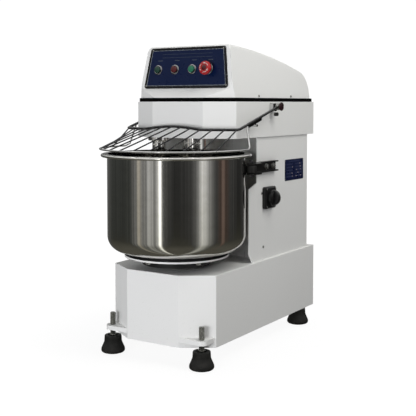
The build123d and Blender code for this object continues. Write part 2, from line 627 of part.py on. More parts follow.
def screw_head(plane):
    """Add a screw head standing on a plane."""
    with Locations(plane):
        Cylinder(SCREW_R, SCREW_HIGH, align=BOTTOM)


def facing(x, y, z, way):
    """Plane at a point, facing a direction."""
    return Plane(origin=(x, y, z), z_dir=way)


SCREW_LIFT = 0.02
COVER_SCREW_YS, COVER_SCREW_Z = (26.0, 232.0), 745.0
COLUMN_SCREWS = [(42.0, 454.0), (52.0, 292.0)]
BACK_SCREW_X, BACK_SCREW_ZS = 132.0, (300.0, 440.0, 580.0)
PANEL_SCREW_R, PANEL_SCREW_HIGH, PANEL_SCREW_INSET = 2.0, 1.0, 7.0
with BuildPart() as casing_screws:
    for side in (-1, 1):
        skin_x = COVER_SIDE + SCREW_LIFT - (COVER_SCREW_Z - SLOPE_LOW) * SLOPE
        for screw_y in COVER_SCREW_YS:
            screw_head(facing(side * skin_x, screw_y, COVER_SCREW_Z, (side, 0, SLOPE)))
        for screw_y, screw_z in COLUMN_SCREWS:
            screw_head(facing(side * COLUMN_SIDE, screw_y, screw_z, (side, 0, 0)))
        for screw_z in BACK_SCREW_ZS:
            back_y = COLUMN_BACK + REAR_COVER_THICK
            screw_head(facing(side * BACK_SCREW_X, back_y, screw_z, (0, 1, 0)))
        for end, half_width in ((-1, PANEL_HALF_LOW), (1, PANEL_HALF_HIGH)):
            corner = (
                side * (half_width - PANEL_SCREW_INSET),
                end * (PANEL_HALF - PANEL_SCREW_INSET),
                FRAME_THICK,
            )
            with Locations(panel_plane):
                with Locations(corner):
                    Cylinder(PANEL_SCREW_R, PANEL_SCREW_HIGH, align=BOTTOM)
save(casing_screws.part, "casing_screws")

CONTACTOR_LOW, CONTACTOR_HIGH, CONTACTOR_ROUND = (-155, 235, 380), (-100, 340, 540), 4.0
with BuildPart() as contactor_box:
    block(CONTACTOR_LOW, CONTACTOR_HIGH)
    fillet(contactor_box.edges().filter_by(Axis.Z), CONTACTOR_ROUND)
save(contactor_box.part, "contactor_box")

# ---- Bowl and turntable ----
with BuildPart() as bowl:
    with BuildSketch(Plane.XZ) as section:
        with BuildLine():
            inner = BOWL_R - BOWL_SHEET
            low = BOWL_BOTTOM + BOWL_SHEET
            corner = BOWL_CORNER - BOWL_SHEET
            Polyline((0, BOWL_BOTTOM), (BOWL_R - BOWL_CORNER, BOWL_BOTTOM))
            RadiusArc(
                (BOWL_R - BOWL_CORNER, BOWL_BOTTOM),
                (BOWL_R, BOWL_BOTTOM + BOWL_CORNER),
                -BOWL_CORNER,
            )
            Polyline(
                (BOWL_R, BOWL_BOTTOM + BOWL_CORNER),
                (BOWL_R, BOWL_TOP),
                (inner, BOWL_TOP),
                (inner, low + corner),
            )
            RadiusArc((inner, low + corner), (inner - corner, low), corner)
            Polyline((inner - corner, low), (0, low), (0, BOWL_BOTTOM))
        make_face()
    revolve(Pos(0, BOWL_Y, 0) * section.sketch, axis=Axis((0, BOWL_Y, 0), (0, 0, 1)))
save(bowl.part, "bowl")

with BuildPart() as bowl_rim:
    with BuildSketch(Plane.XZ) as section:
        Polygon(
            (BOWL_R, BOWL_TOP - BOWL_SHEET),
            (RIM_R - BOWL_SHEET, BOWL_TOP - BOWL_SHEET),
            (RIM_R - BOWL_SHEET, BOWL_TOP - RIM_DROP),
            (RIM_R, BOWL_TOP - RIM_DROP),
            (RIM_R, BOWL_TOP),
            (BOWL_R, BOWL_TOP),
            align=None,
        )
        fillet(section.vertices().sort_by_distance((RIM_R, BOWL_TOP))[0], RIM_ROUND)
    revolve(Pos(0, BOWL_Y, 0) * section.sketch, axis=Axis((0, BOWL_Y, 0), (0, 0, 1)))
save(bowl_rim.part, "bowl_rim")

DISC_R, DISC_LOW, DISC_HIGH = 151.0, 284.0, 292.0
SEAT_R = 140.0                   # step that the bowl stands on
HUB_R, HUB_LOW = 100.0, 262.0
POCKET_RING_R, POCKET_R, POCKET_DEEP, POCKETS = 78.0, 13.0, 16.0, 8
SHAFT_FLANGE_R, SHAFT_FLANGE_HIGH = 60.0, 10.0
with BuildPart() as turntable:
    post(*BOWL_XY, DISC_LOW, DISC_HIGH, DISC_R)
    post(*BOWL_XY, DISC_HIGH, BOWL_BOTTOM, SEAT_R)
    post(*BOWL_XY, HUB_LOW, DISC_LOW, HUB_R)
    with Locations((*BOWL_XY, HUB_LOW)):
        with PolarLocations(POCKET_RING_R, POCKETS):
            Cylinder(POCKET_R, POCKET_DEEP, align=BOTTOM, mode=Mode.SUBTRACT)
    socket = (HUB_LOW, HUB_LOW + SHAFT_FLANGE_HIGH)
    post(*BOWL_XY, *socket, SHAFT_FLANGE_R + GAP, mode=Mode.SUBTRACT)
save(turntable.part, "turntable")

DISC_BOLTS, DISC_BOLT_TURN, DISC_BOLT_HEAD, DISC_BOLT_HIGH = 6, 30.0, 13.0, 6.0
with BuildPart() as turntable_bolts:
    for number in range(DISC_BOLTS):
        turn = math.radians(360 / DISC_BOLTS * number + DISC_BOLT_TURN)
        spot = (SEAT_R * math.cos(turn), BOWL_Y + SEAT_R * math.sin(turn))
        hexagon(Plane((*spot, DISC_LOW - DISC_BOLT_HIGH)), DISC_BOLT_HEAD, DISC_BOLT_HIGH)
save(turntable_bolts.part, "turntable_bolts")

SHAFT_TOP = HUB_LOW + SHAFT_FLANGE_HIGH
SHAFT_FLANGE_LOW, BOWL_SHAFT_LOW = 263.5, 118.0
with BuildPart() as bowl_shaft:
    post(*BOWL_XY, BOWL_SHAFT_LOW, SHAFT_TOP, BOWL_SHAFT_R)
    post(*BOWL_XY, SHAFT_FLANGE_LOW, SHAFT_TOP, SHAFT_FLANGE_R)
save(bowl_shaft.part, "bowl_shaft")

# Ball bearings of the two shafts: lower face, upper face. Their seats share one radius.
BEARING_R, SHAFT_CLEAR = 34.0, 2.0
BOWL_LOWER_BEARING, BOWL_UPPER_BEARING = (165.0, 184.0), (240.0, 261.0)
HOOK_LOWER_BEARING, HOOK_UPPER_BEARING = (588.0, 606.0), (618.0, 636.0)
BOWL_FLANGE_HIGH, HOOK_FLANGE_HIGH = 8.0, 6.0
with BuildPart() as bowl_bearing_housing:
    bowl_tube = (BOWL_LOWER_BEARING[0], BASE_TOP + BOWL_FLANGE_HIGH)
    post(*BOWL_XY, *bowl_tube, BOWL_TUBE_R)
    post(*BOWL_XY, BASE_TOP, bowl_tube[1], HOUSING_FLANGE_R)
    post(*BOWL_XY, *bowl_tube, BOWL_SHAFT_R + SHAFT_CLEAR, mode=Mode.SUBTRACT)
    post(*BOWL_XY, *BOWL_LOWER_BEARING, BEARING_R, mode=Mode.SUBTRACT)
    post(*BOWL_XY, *BOWL_UPPER_BEARING, BEARING_R, mode=Mode.SUBTRACT)
save(bowl_bearing_housing.part, "bowl_bearing_housing")

# ---- Drive ----


def belt(drive, level):
    """Add one belt round two pulleys at a height."""
    axis_a, pitch_a, axis_b, pitch_b, _ = drive
    for reach, mode in ((BELT_HALF, Mode.ADD), (-BELT_HALF, Mode.SUBTRACT)):
        with BuildSketch(Plane.XY.offset(level - BELT_HIGH / 2)) as loop:
            with Locations(axis_a):
                Circle(pitch_a + reach)
            with Locations(axis_b):
                Circle(pitch_b + reach)
            make_hull()
        extrude(loop.sketch, amount=BELT_HIGH, mode=mode)


def levels(drive):
    """Heights of the drive's two belts."""
    return [drive[4] - BELT_PITCH / 2, drive[4] + BELT_PITCH / 2]


def pulley(drive, end, bore):
    """Add a two-groove pulley at one end of a drive, bored for its shaft."""
    axis, pitch = drive[2 * end], drive[2 * end + 1]
    half = BELT_PITCH + PULLEY_CHEEK
    post(*axis, drive[4] - half, drive[4] + half, pitch + FLANGE)
    for level in levels(drive):
        groove = BELT_HIGH / 2 + GAP
        with BuildSketch(Plane((*axis, level - groove))) as ring:
            Circle(pitch + FLANGE + CUT)
            Circle(pitch - BELT_HALF - GAP, mode=Mode.SUBTRACT)
        extrude(ring.sketch, amount=2 * groove, mode=Mode.SUBTRACT)
    post(*axis, drive[4] - half - CUT, drive[4] + half + CUT, bore, mode=Mode.SUBTRACT)


with BuildPart() as drive_belts:
    for drive in DRIVES:
        for level in levels(drive):
            belt(drive, level)
save(drive_belts.part, "drive_belts")

with BuildPart() as motor_pulley:
    pulley(MOTOR_DRIVE, 0, MOTOR_SHAFT_R)
save(motor_pulley.part, "motor_pulley")

with BuildPart() as layshaft_pulleys:
    pulley(MOTOR_DRIVE, 1, LAYSHAFT_R)
    pulley(HOOK_DRIVE, 0, LAYSHAFT_R)
    pulley(TRANSFER_DRIVE, 0, LAYSHAFT_R)
save(layshaft_pulleys.part, "layshaft_pulleys")

with BuildPart() as jackshaft_pulleys:
    pulley(TRANSFER_DRIVE, 1, JACKSHAFT_R)
    pulley(BOWL_DRIVE, 0, JACKSHAFT_R)
save(jackshaft_pulleys.part, "jackshaft_pulleys")

with BuildPart() as hook_pulley:
    pulley(HOOK_DRIVE, 1, HOOK_SHAFT_R)
save(hook_pulley.part, "hook_pulley")

with BuildPart() as bowl_pulley:
    pulley(BOWL_DRIVE, 1, BOWL_SHAFT_R)
save(bowl_pulley.part, "bowl_pulley")

LAYSHAFT_Z, JACKSHAFT_Z, HOOK_SHAFT_Z = (190.0, 720.0), (61.0, 249.0), (548.0, 682.0)
with BuildPart() as layshaft:
    post(*LAYSHAFT_XY, *LAYSHAFT_Z, LAYSHAFT_R)
save(layshaft.part, "layshaft")

with BuildPart() as jackshaft:
    post(*JACKSHAFT_XY, *JACKSHAFT_Z, JACKSHAFT_R)
save(jackshaft.part, "jackshaft")

UNIT_R, UNIT_PLATE, UNIT_PLATE_HIGH = 28.0, 66.0, 8.0
TALL_UNIT, LOW_UNIT = 24.0, 18.0
# Bearing units: axis, lower face, height, shaft radius, and whether they hang from a roof.
FLANGE_UNITS = [
    (LAYSHAFT_XY, BASE_TOP, TALL_UNIT, LAYSHAFT_R, False),
    (LAYSHAFT_XY, HEAD_LOW - TALL_UNIT, TALL_UNIT, LAYSHAFT_R, True),
    (JACKSHAFT_XY, BASE_LOW + FLOOR_THICK, TALL_UNIT, JACKSHAFT_R, False),
    (JACKSHAFT_XY, BASE_TOP - SHEET - LOW_UNIT, LOW_UNIT, JACKSHAFT_R, True),
]
with BuildPart() as flange_bearing_units:
    for unit_xy, unit_low, unit_high, shaft_r, hanging in FLANGE_UNITS:
        plate_low = unit_low + unit_high - UNIT_PLATE_HIGH if hanging else unit_low
        post(*unit_xy, unit_low, unit_low + unit_high, UNIT_R)
        with Locations((*unit_xy, plate_low)):
            Box(UNIT_PLATE, UNIT_PLATE, UNIT_PLATE_HIGH, align=BOTTOM)
        post(*unit_xy, unit_low - CUT, unit_low + unit_high + CUT, shaft_r + RUN, Mode.SUBTRACT)
save(flange_bearing_units.part, "flange_bearing_units")

HEAD_FLOOR_TOP = HEAD_LOW + HEAD_FLOOR
with BuildPart() as hook_bearing_housing:
    hook_tube = (HOOK_LOWER_BEARING[0], HOOK_UPPER_BEARING[1])
    post(*HOOK_XY, *hook_tube, HOOK_TUBE_R)
    post(*HOOK_XY, HEAD_FLOOR_TOP, HEAD_FLOOR_TOP + HOOK_FLANGE_HIGH, HOUSING_FLANGE_R)
    post(*HOOK_XY, *hook_tube, HOOK_SHAFT_R + SHAFT_CLEAR, mode=Mode.SUBTRACT)
    post(*HOOK_XY, *HOOK_LOWER_BEARING, BEARING_R, mode=Mode.SUBTRACT)
    post(*HOOK_XY, *HOOK_UPPER_BEARING, BEARING_R, mode=Mode.SUBTRACT)
save(hook_bearing_housing.part, "hook_bearing_housing")

MOTOR_BEARING_R = 17.0
MOTOR_LOWER_BEARING, MOTOR_UPPER_BEARING = (380.0, 390.0), (607.0, 619.0)
# Ball bearings: axis, lower and upper face, outer radius and shaft radius.
BEARINGS = [
    (BOWL_XY, BOWL_LOWER_BEARING, BEARING_R, BOWL_SHAFT_R),
    (BOWL_XY, BOWL_UPPER_BEARING, BEARING_R, BOWL_SHAFT_R),
    (HOOK_XY, HOOK_LOWER_BEARING, BEARING_R, HOOK_SHAFT_R),
    (HOOK_XY, HOOK_UPPER_BEARING, BEARING_R, HOOK_SHAFT_R),
    (MOTOR_XY, MOTOR_LOWER_BEARING, MOTOR_BEARING_R, MOTOR_SHAFT_R),
    (MOTOR_XY, MOTOR_UPPER_BEARING, MOTOR_BEARING_R, MOTOR_SHAFT_R),
]
with BuildPart() as shaft_bearings:
    for bearing_xy, (low, high), ring_r, shaft_r in BEARINGS:
        post(*bearing_xy, low, high, ring_r)
        post(*bearing_xy, low - CUT, high + CUT, shaft_r + RUN, mode=Mode.SUBTRACT)
save(shaft_bearings.part, "shaft_bearings")

with BuildPart() as hook_shaft:
    post(*HOOK_XY, *HOOK_SHAFT_Z, HOOK_SHAFT_R)
save(hook_shaft.part, "hook_shaft")

# The spiral: a round bar that leaves the shaft's foot, winds down and comes back to the axis.
COIL_R = HOOK_SWEEP_R - HOOK_ROD_R
COIL_TOP, COIL_DROP, COIL_PITCH = 512.0, 165.0, 150.0
HOOK_TIP_Z, HOOK_NECK_Z = 341.0, 524.0
BOSS_LOW, BOSS_R = 510.0, 26.0
with BuildPart() as spiral_hook:
    with BuildLine() as coil:
        Helix(
            pitch=COIL_PITCH,
            height=COIL_DROP,
            radius=COIL_R,
            center=(0, HOOK_Y, COIL_TOP - COIL_DROP),
        )
    coil_foot, coil_head = coil.line @ 0, coil.line @ 1
    with BuildSketch(Plane(origin=coil_foot, z_dir=coil.line % 0)) as section:
        Circle(HOOK_ROD_R)
    sweep(section.sketch, path=coil.line, is_frenet=True)
    for end in (coil_foot, coil_head):
        with Locations(end):
            Sphere(HOOK_ROD_R)
    rod(tuple(coil_foot), (0, HOOK_Y, HOOK_TIP_Z), HOOK_ROD_R)
    rod(tuple(coil_head), (0, HOOK_Y, HOOK_NECK_Z), HOOK_ROD_R)
    with Locations((0, HOOK_Y, HOOK_TIP_Z)):
        Sphere(HOOK_ROD_R)
    post(*HOOK_XY, BOSS_LOW, HOOK_SHAFT_Z[0], BOSS_R)
save(spiral_hook.part, "spiral_hook")

BAR_LOW, BAR_TIP_ROUND = 322.0, 8.0
BAR_FLANGE_R, BAR_FLANGE_HIGH, BAR_STEM_TOP = 32.0, 10.0, HEAD_LOW + 20
BAR_NUT, BAR_NUT_HIGH = 30.0, 10.0
with BuildPart() as breaker_bar:
    post(BAR_X, BAR_Y, BAR_LOW, HEAD_LOW, BAR_R)
    fillet(breaker_bar.faces().sort_by(Axis.Z)[0].edges(), BAR_TIP_ROUND)
    post(BAR_X, BAR_Y, HEAD_LOW - BAR_FLANGE_HIGH, HEAD_LOW, BAR_FLANGE_R)
    post(BAR_X, BAR_Y, HEAD_LOW, BAR_STEM_TOP, BAR_STEM_R)
    hexagon(Plane((BAR_X, BAR_Y, HEAD_FLOOR_TOP)), BAR_NUT, BAR_NUT_HIGH)
save(breaker_bar.part, "breaker_bar")

# ---- Motor ----
MOTOR_LOW, MOTOR_HIGH = MOTOR_LOWER_BEARING[0], HEAD_LOW
MOTOR_R, MOTOR_FLANGE_R, MOTOR_FLANGE_HIGH = 64.0, 78.0, 12.0
MOTOR_WALL, MOTOR_END, MOTOR_BELL = 5.0, 6.0, 18.0
FIN_R, FIN_LONG, FIN_THICK, FIN_COUNT = 66.0, 10.0, 3.0, 24
FIN_LOW, FIN_HIGH = 410.0, 580.0
STATOR_Z, STATOR_BORE_R = (420.0, 560.0), 41.0
ROTOR_Z, ROTOR_R = (425.0, 555.0), 40.0
MOTOR_SHAFT_Z = (372.0, 722.0)
with BuildPart() as motor_housing:
    post(*MOTOR_XY, MOTOR_LOW, MOTOR_HIGH - MOTOR_FLANGE_HIGH, MOTOR_R)
    post(*MOTOR_XY, MOTOR_HIGH - MOTOR_FLANGE_HIGH, MOTOR_HIGH, MOTOR_FLANGE_R)
    with BuildSketch(Plane.XY.offset(FIN_LOW)) as fins:
        with Locations(MOTOR_XY):
            with PolarLocations(FIN_R, FIN_COUNT):
                Rectangle(FIN_LONG, FIN_THICK)
    extrude(fins.sketch, amount=FIN_HIGH - FIN_LOW)
    chamber = (MOTOR_LOW + MOTOR_END, MOTOR_HIGH - MOTOR_BELL)
    post(*MOTOR_XY, *chamber, MOTOR_R - MOTOR_WALL, mode=Mode.SUBTRACT)
    post(*MOTOR_XY, MOTOR_LOW, MOTOR_HIGH, MOTOR_BEARING_R, mode=Mode.SUBTRACT)
save(motor_housing.part, "motor_housing")

with BuildPart() as motor_stator:
    post(*MOTOR_XY, *STATOR_Z, MOTOR_R - MOTOR_WALL)
    post(*MOTOR_XY, *STATOR_Z, STATOR_BORE_R, mode=Mode.SUBTRACT)
save(motor_stator.part, "motor_stator")

with BuildPart() as motor_rotor:
    post(*MOTOR_XY, *MOTOR_SHAFT_Z, MOTOR_SHAFT_R)
    post(*MOTOR_XY, *ROTOR_Z, ROTOR_R)
save(motor_rotor.part, "motor_rotor")

# ---- Wire guard ----


def arm_point(y, side):
    """Point on the guard arm's middle line at a depth."""
    share = (y - PIVOT_Y) / (CORNER_Y - PIVOT_Y)
    return (side * ARM_X, y, PIVOT_Z + share * (CORNER_Z - PIVOT_Z))


def bar_point(x):
    """Point on the front bar's middle line: straight shoulders and a raised middle."""
    reach = abs(x)
    if reach > KINK_X:
        share = (reach - KINK_X) / (ARM_X - KINK_X)
        return (x, KINK_Y + share * (CORNER_Y - KINK_Y), CORNER_Z)
    return (x, KINK_Y, CORNER_Z + BAR_RISE * math.cos(math.pi * x / (2 * KINK_X)))


def ring_point(degrees):
    """Point on the guard ring's middle line, by its turn from the front to the right."""
    turn = math.radians(degrees)
    return (RING_R * math.sin(turn), BOWL_Y - RING_R * math.cos(turn), RING_Z)


PIN_END, KNOB_END, KNOB_DISC_R, PIVOT_PIN_R = 203.0, 208.5, 13.0, 6.0
EYE_R, EYE_HALF, TAB_HALF = 11.0, 6.0, 3.0
PIVOT_BLOCK_OUT, PIVOT_BLOCK_FRONT, PIVOT_BLOCK_BACK, PIVOT_BLOCK_HALF = 187.0, 16.0, 12.0, 11.0
STOP_END = 201.0
ARM_SLOPE = math.atan2(PIVOT_Z - CORNER_Z, PIVOT_Y - CORNER_Y)
STOP_Z = arm_point(STOP_Y, 1)[2] - TAB_DEPTH - (STOP_R + GAP) / math.cos(ARM_SLOPE)
with BuildPart() as guard_pivots:
    for side in (-1, 1):
        x_low, x_high = sorted((side * HEAD_SIDE, side * PIVOT_BLOCK_OUT))
        block(
            (x_low, PIVOT_Y - PIVOT_BLOCK_FRONT, PIVOT_Z - PIVOT_BLOCK_HALF),
            (x_high, PIVOT_Y + PIVOT_BLOCK_BACK, PIVOT_Z + PIVOT_BLOCK_HALF),
        )
        rod(
            (side * HEAD_SIDE, PIVOT_Y, PIVOT_Z),
            (side * PIN_END, PIVOT_Y, PIVOT_Z),
            PIVOT_PIN_R,
        )
        rod((side * HEAD_SIDE, STOP_Y, STOP_Z), (side * STOP_END, STOP_Y, STOP_Z), STOP_R)
save(guard_pivots.part, "guard_pivots")

with BuildPart() as guard_knobs:
    for side in (-1, 1):
        rod(
            (side * PIN_END, PIVOT_Y, PIVOT_Z),
            (side * KNOB_END, PIVOT_Y, PIVOT_Z),
            KNOB_DISC_R,
        )
save(guard_knobs.part, "guard_knobs")

for side, name in ((-1, "guard_arm_left"), (1, "guard_arm_right")):
    with BuildPart() as arm:
        rod(arm_point(PIVOT_Y, side), arm_point(CORNER_Y, side), ARM_R)
        rod(
            (side * (ARM_X - EYE_HALF), PIVOT_Y, PIVOT_Z),
            (side * (ARM_X + EYE_HALF), PIVOT_Y, PIVOT_Z),
            EYE_R,
        )
        with BuildSketch(Plane.YZ.offset(side * ARM_X)) as tab:
            Polygon(
                (TAB_FRONT, arm_point(TAB_FRONT, side)[2] - TAB_DEPTH),
                (TAB_BACK, arm_point(TAB_BACK, side)[2] - TAB_DEPTH),
                (TAB_BACK, arm_point(TAB_BACK, side)[2]),
                (TAB_FRONT, arm_point(TAB_FRONT, side)[2]),
                align=None,
            )
        extrude(tab.sketch, amount=TAB_HALF, both=True)
        with Locations(facing(side * ARM_X, PIVOT_Y, PIVOT_Z, (1, 0, 0))):
            Cylinder(PIVOT_PIN_R + RUN, 2 * (EYE_HALF + CUT), mode=Mode.SUBTRACT)
    save(arm.part, name)

BAR_STEPS = 8
with BuildPart() as guard_front_bar:
    stations = [-ARM_X] + [KINK_X * (2 * i / BAR_STEPS - 1) for i in range(BAR_STEPS + 1)]
    stations += [ARM_X]
    points = [bar_point(x) for x in stations]
    for start, end in zip(points, points[1:]):
        rod(start, end, ARM_R)
    for point in points:
        with Locations(point):
            Sphere(ARM_R)
save(guard_front_bar.part, "guard_front_bar")

RING_END_X = math.sqrt(RING_R**2 - (RING_END_Y - BOWL_Y) ** 2)
ring_turn = math.degrees(math.asin((RING_END_Y - BOWL_Y) / RING_R))
with BuildPart() as guard_ring:
    with BuildSketch(Plane.XZ.offset(-BOWL_Y)) as section:
        with Locations((RING_R, RING_Z)):
            Circle(RING_WIRE_R)
    arc = 180 + 2 * ring_turn
    whole = revolve(
        section.sketch,
        axis=Axis((0, BOWL_Y, 0), (0, 0, -1)),
        revolution_arc=arc,
        mode=Mode.PRIVATE,
    )
    add(whole.rotate(Axis((0, BOWL_Y, 0), (0, 0, 1)), ring_turn))
    for side in (-1, 1):
        rod(
            (side * RING_END_X, RING_END_Y, RING_Z),
            arm_point(HANGER_Y, side),
            RING_WIRE_R,
        )
        with Locations((side * RING_END_X, RING_END_Y, RING_Z)):
            Sphere(RING_WIRE_R + GAP)
save(guard_ring.part, "guard_ring")

with BuildPart() as guard_wires:
    for number in range(WIRE_COUNT):
        head = bar_point(WIRE_HEAD_X - WIRE_HEAD_STEP * number)
        foot = ring_point(WIRE_FOOT_TURN - WIRE_FOOT_STEP * number)
        rod(head, foot, WIRE_R)
save(guard_wires.part, "guard_wires")
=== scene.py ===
import json
import math

import bmesh
import bpy
from mathutils import Matrix, Vector


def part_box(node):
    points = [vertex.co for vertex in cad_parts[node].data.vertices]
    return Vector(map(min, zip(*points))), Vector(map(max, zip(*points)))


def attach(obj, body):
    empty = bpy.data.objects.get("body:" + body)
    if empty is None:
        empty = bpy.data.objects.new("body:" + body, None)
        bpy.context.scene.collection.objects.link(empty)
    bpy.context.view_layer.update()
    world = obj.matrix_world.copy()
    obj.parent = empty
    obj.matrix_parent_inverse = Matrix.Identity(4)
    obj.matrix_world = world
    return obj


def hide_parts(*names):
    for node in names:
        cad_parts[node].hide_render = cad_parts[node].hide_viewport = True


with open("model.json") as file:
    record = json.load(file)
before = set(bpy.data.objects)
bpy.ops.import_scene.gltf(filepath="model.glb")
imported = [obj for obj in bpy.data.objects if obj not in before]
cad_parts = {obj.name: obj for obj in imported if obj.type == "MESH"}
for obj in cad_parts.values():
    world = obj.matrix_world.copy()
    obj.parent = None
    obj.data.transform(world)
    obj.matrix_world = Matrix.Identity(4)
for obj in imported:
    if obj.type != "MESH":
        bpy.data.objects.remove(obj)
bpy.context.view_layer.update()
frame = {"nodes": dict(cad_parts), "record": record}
MM = 0.001


# ---- mesh helpers
class Shape:
    """Collects points and faces, then makes one mesh object of them. Lengths are in mm."""

    def __init__(self):
        self.points = []
        self.faces = []

    def add(self, points, faces, place=None):
        start = len(self.points)
        for point in points:
            point = Vector(point)
            self.points.append(place @ point if place else point)
        self.faces += [[start + i for i in face] for face in faces]

    def lathe(self, profile, place, sides, closed=False):
        """Turns a list of (radius, height) about the local Z axis. A closed one makes a ring."""
        points, rings = [], []
        for radius, height in profile:
            if radius < 1e-6:
                rings.append([len(points)])
                points.append((0, 0, height))
                continue
            rings.append(list(range(len(points), len(points) + sides)))
            points += [(x, y, height) for x, y in circle(radius, sides)]
        if closed:
            rings.append(rings[0])
        faces = []
        for low, high in zip(rings, rings[1:]):
            for i in range(sides):
                j = (i + 1) % sides
                a, b = len(low), len(high)
                face = list(dict.fromkeys([low[i % a], low[j % a], high[j % b], high[i % b]]))
                if len(face) > 2:
                    faces.append(face)
        self.add(points, faces, place)

    def thread(self, radius, low, high, place, pitch=2.0, depth=0.9, sides=28, steps=6):
        """Threaded rod with plain ends, standing between two heights."""
        count = int((high - low) / pitch * steps)
        points = [(0, 0, low)]
        for k in range(count + 1):
            z = low + (high - low) * k / count
            ends = min(1.0, (z - low) / pitch, (high - z) / pitch)
            for i in range(sides):
                share = i / sides
                wave = abs(((z / pitch - share) % 1.0) - 0.5) * 2
                r = radius - depth * (1 - wave) - depth * (1 - ends)
                turn = 2 * math.pi * share
                points.append((r * math.cos(turn), r * math.sin(turn), z))
        points.append((0, 0, high))
        faces, last = [], len(points) - 1
        for k in range(count):
            faces += band(1 + k * sides, 1 + (k + 1) * sides, sides)
        for i in range(sides):
            j = (i + 1) % sides
            faces += [[0, 1 + j, 1 + i], [last, last - sides + i, last - sides + j]]
        self.add(points, faces, place)

    def nut(self, flats, low, high, place, chamfer=1.2, turn=0.0):
        """Hexagonal nut or bolt head with its corners turned off."""
        self.prism(circle(flats / 2 / math.cos(math.pi / 6), 6, turn), low, high, chamfer, place)

    def screw(self, place, radius, height):
        """Domed screw head with a round recess."""
        rise = [(0, 0), (radius, 0)]
        for i in range(7):
            a = math.radians(90 * i / 6)
            rise.append((radius * (0.35 + 0.65 * math.cos(a)), height * (0.25 + 0.75 * math.sin(a))))
        bore, recess = radius * 0.33, height * 0.35
        self.lathe(rise + [(bore, height * 0.98), (bore, recess), (0, recess)], place, 24)

    def rod(self, radius, low, high, place, sides=28, nose=None):
        """Cylinder between two heights. nose cuts its far edge, so much inwards and so much along."""
        edge = [(radius, high)]
        if nose:
            edge = [(radius, high - nose[1]), (radius - nose[0], high)]
        self.lathe([(0, low), (radius, low)] + edge + [(0, high)], place, sides)

    def tube(self, path, radius, sides, closed=False):
        """Sweeps a round section along points. radius is a number or one number per point."""
        path = [Vector(p) for p in path]
        count = len(path)
        radii = radius if isinstance(radius, (list, tuple)) else [radius] * count
        tangents = []
        for i in range(count):
            before = path[i - 1] if closed or i else path[i]
            after = path[(i + 1) % count] if closed or i < count - 1 else path[i]
            tangents.append((after - before).normalized())
        normal = tangents[0].orthogonal().normalized()
        points, faces = [], []
        for i in range(count):
            normal = (normal - tangents[i] * normal.dot(tangents[i])).normalized()
            side = tangents[i].cross(normal)
            points += [path[i] + normal * x + side * y for x, y in circle(radii[i], sides)]
        for i in range(count if closed else count - 1):
            faces += band(i * sides, (i + 1) % count * sides, sides)
        if not closed:
            faces.append(list(range(sides))[::-1])
            faces.append([(count - 1) * sides + k for k in range(sides)])
        self.add(points, faces)

    def prism(self, outline, low, high, bevel, place):
        """Extrudes an anticlockwise outline between two heights, with its edges cut by bevel."""
        inner = inset(outline, bevel)
        levels = [(inner, low), (outline, low + bevel), (outline, high - bevel), (inner, high)]
        n = len(outline)
        points = [(x, y, z) for ring, z in levels for x, y in ring]
        faces = [list(range(n))[::-1], [3 * n + i for i in range(n)]]
        for k in range(3):
            faces += band(k * n, (k + 1) * n, n)
        self.add(points, faces, place)

    def build(self, name, look, body, *nodes, sharp=32, slot=None):
        """Makes the object, in metres, with its look, its body and the CAD nodes that it replaces."""
        mesh = bpy.data.meshes.new(name)
        mesh.from_pydata([tuple(p * MM) for p in self.points], [], self.faces)
        mesh.validate()
        solid = bmesh.new()
        solid.from_mesh(mesh)
        bmesh.ops.recalc_face_normals(solid, faces=solid.faces)
        solid.to_mesh(mesh)
        solid.free()
        mesh.shade_smooth()
        mesh.set_sharp_from_angle(angle=math.radians(sharp))
        mesh.materials.append(LOOKS[look])
        piece = put(name, mesh)
        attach(piece, body)
        if nodes:
            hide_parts(*nodes)


def put(name, data):
    """Adds an object to the scene."""
    made = bpy.data.objects.new(name, data)
    bpy.context.scene.collection.objects.link(made)
    return made


def band(a, b, count):
    """Faces between two rings of points, which start at a and b."""
    pairs = [(i, (i + 1) % count) for i in range(count)]
    return [[a + i, a + j, b + j, b + i] for i, j in pairs]


def circle(radius, count, turn=0.0):
    """Evenly spaced points round a circle."""
    angles = [turn + 2 * math.pi * i / count for i in range(count)]
    return [(radius * math.cos(a), radius * math.sin(a)) for a in angles]


def inset(outline, distance):
    """Moves a convex anticlockwise outline inwards."""
    moved = []
    n = len(outline)
    for i in range(n):
        here = Vector(outline[i])
        to = (Vector(outline[(i + 1) % n]) - here).normalized()
        come = (here - Vector(outline[i - 1])).normalized()
        left_a, left_b = Vector((-come.y, come.x)), Vector((-to.y, to.x))
        middle = (left_a + left_b).normalized()
        moved.append(tuple(here + middle * distance / max(0.3, middle.dot(left_a))))
    return moved


def on_circle(radius, degrees, centre=(0, 0)):
    a = math.radians(degrees)
    return (centre[0] + radius * math.cos(a), centre[1] + radius * math.sin(a))


def arc_points(centre, radius, start, stop, count):
    """Points along an arc between two angles in degrees."""
    return [on_circle(radius, start + (stop - start) * i / count, centre) for i in range(count + 1)]


def rounded_box(width, height, radius, steps=6):
    """Anticlockwise rectangle with round corners, centred on the origin."""
    points = []
    for sx, sy, start in ((1, 1, 0), (-1, 1, 90), (-1, -1, 180), (1, -1, 270)):
        centre = (sx * (width / 2 - radius), sy * (height / 2 - radius))
        points += arc_points(centre, radius, start, start + 90, steps)
    return points


def ribbed_circle(radius, depth, ribs, power, count):
    """Outline of a grip: a circle with shallow hollows cut into it."""
    points = []
    for i in range(count):
        a = 2 * math.pi * i / count
        r = radius - depth * (0.5 + 0.5 * math.cos(ribs * a)) ** power
        points.append((r * math.cos(a), r * math.sin(a)))
    return points


def shift(x, y, z=0.0):
    return Matrix.Translation((x, y, z))


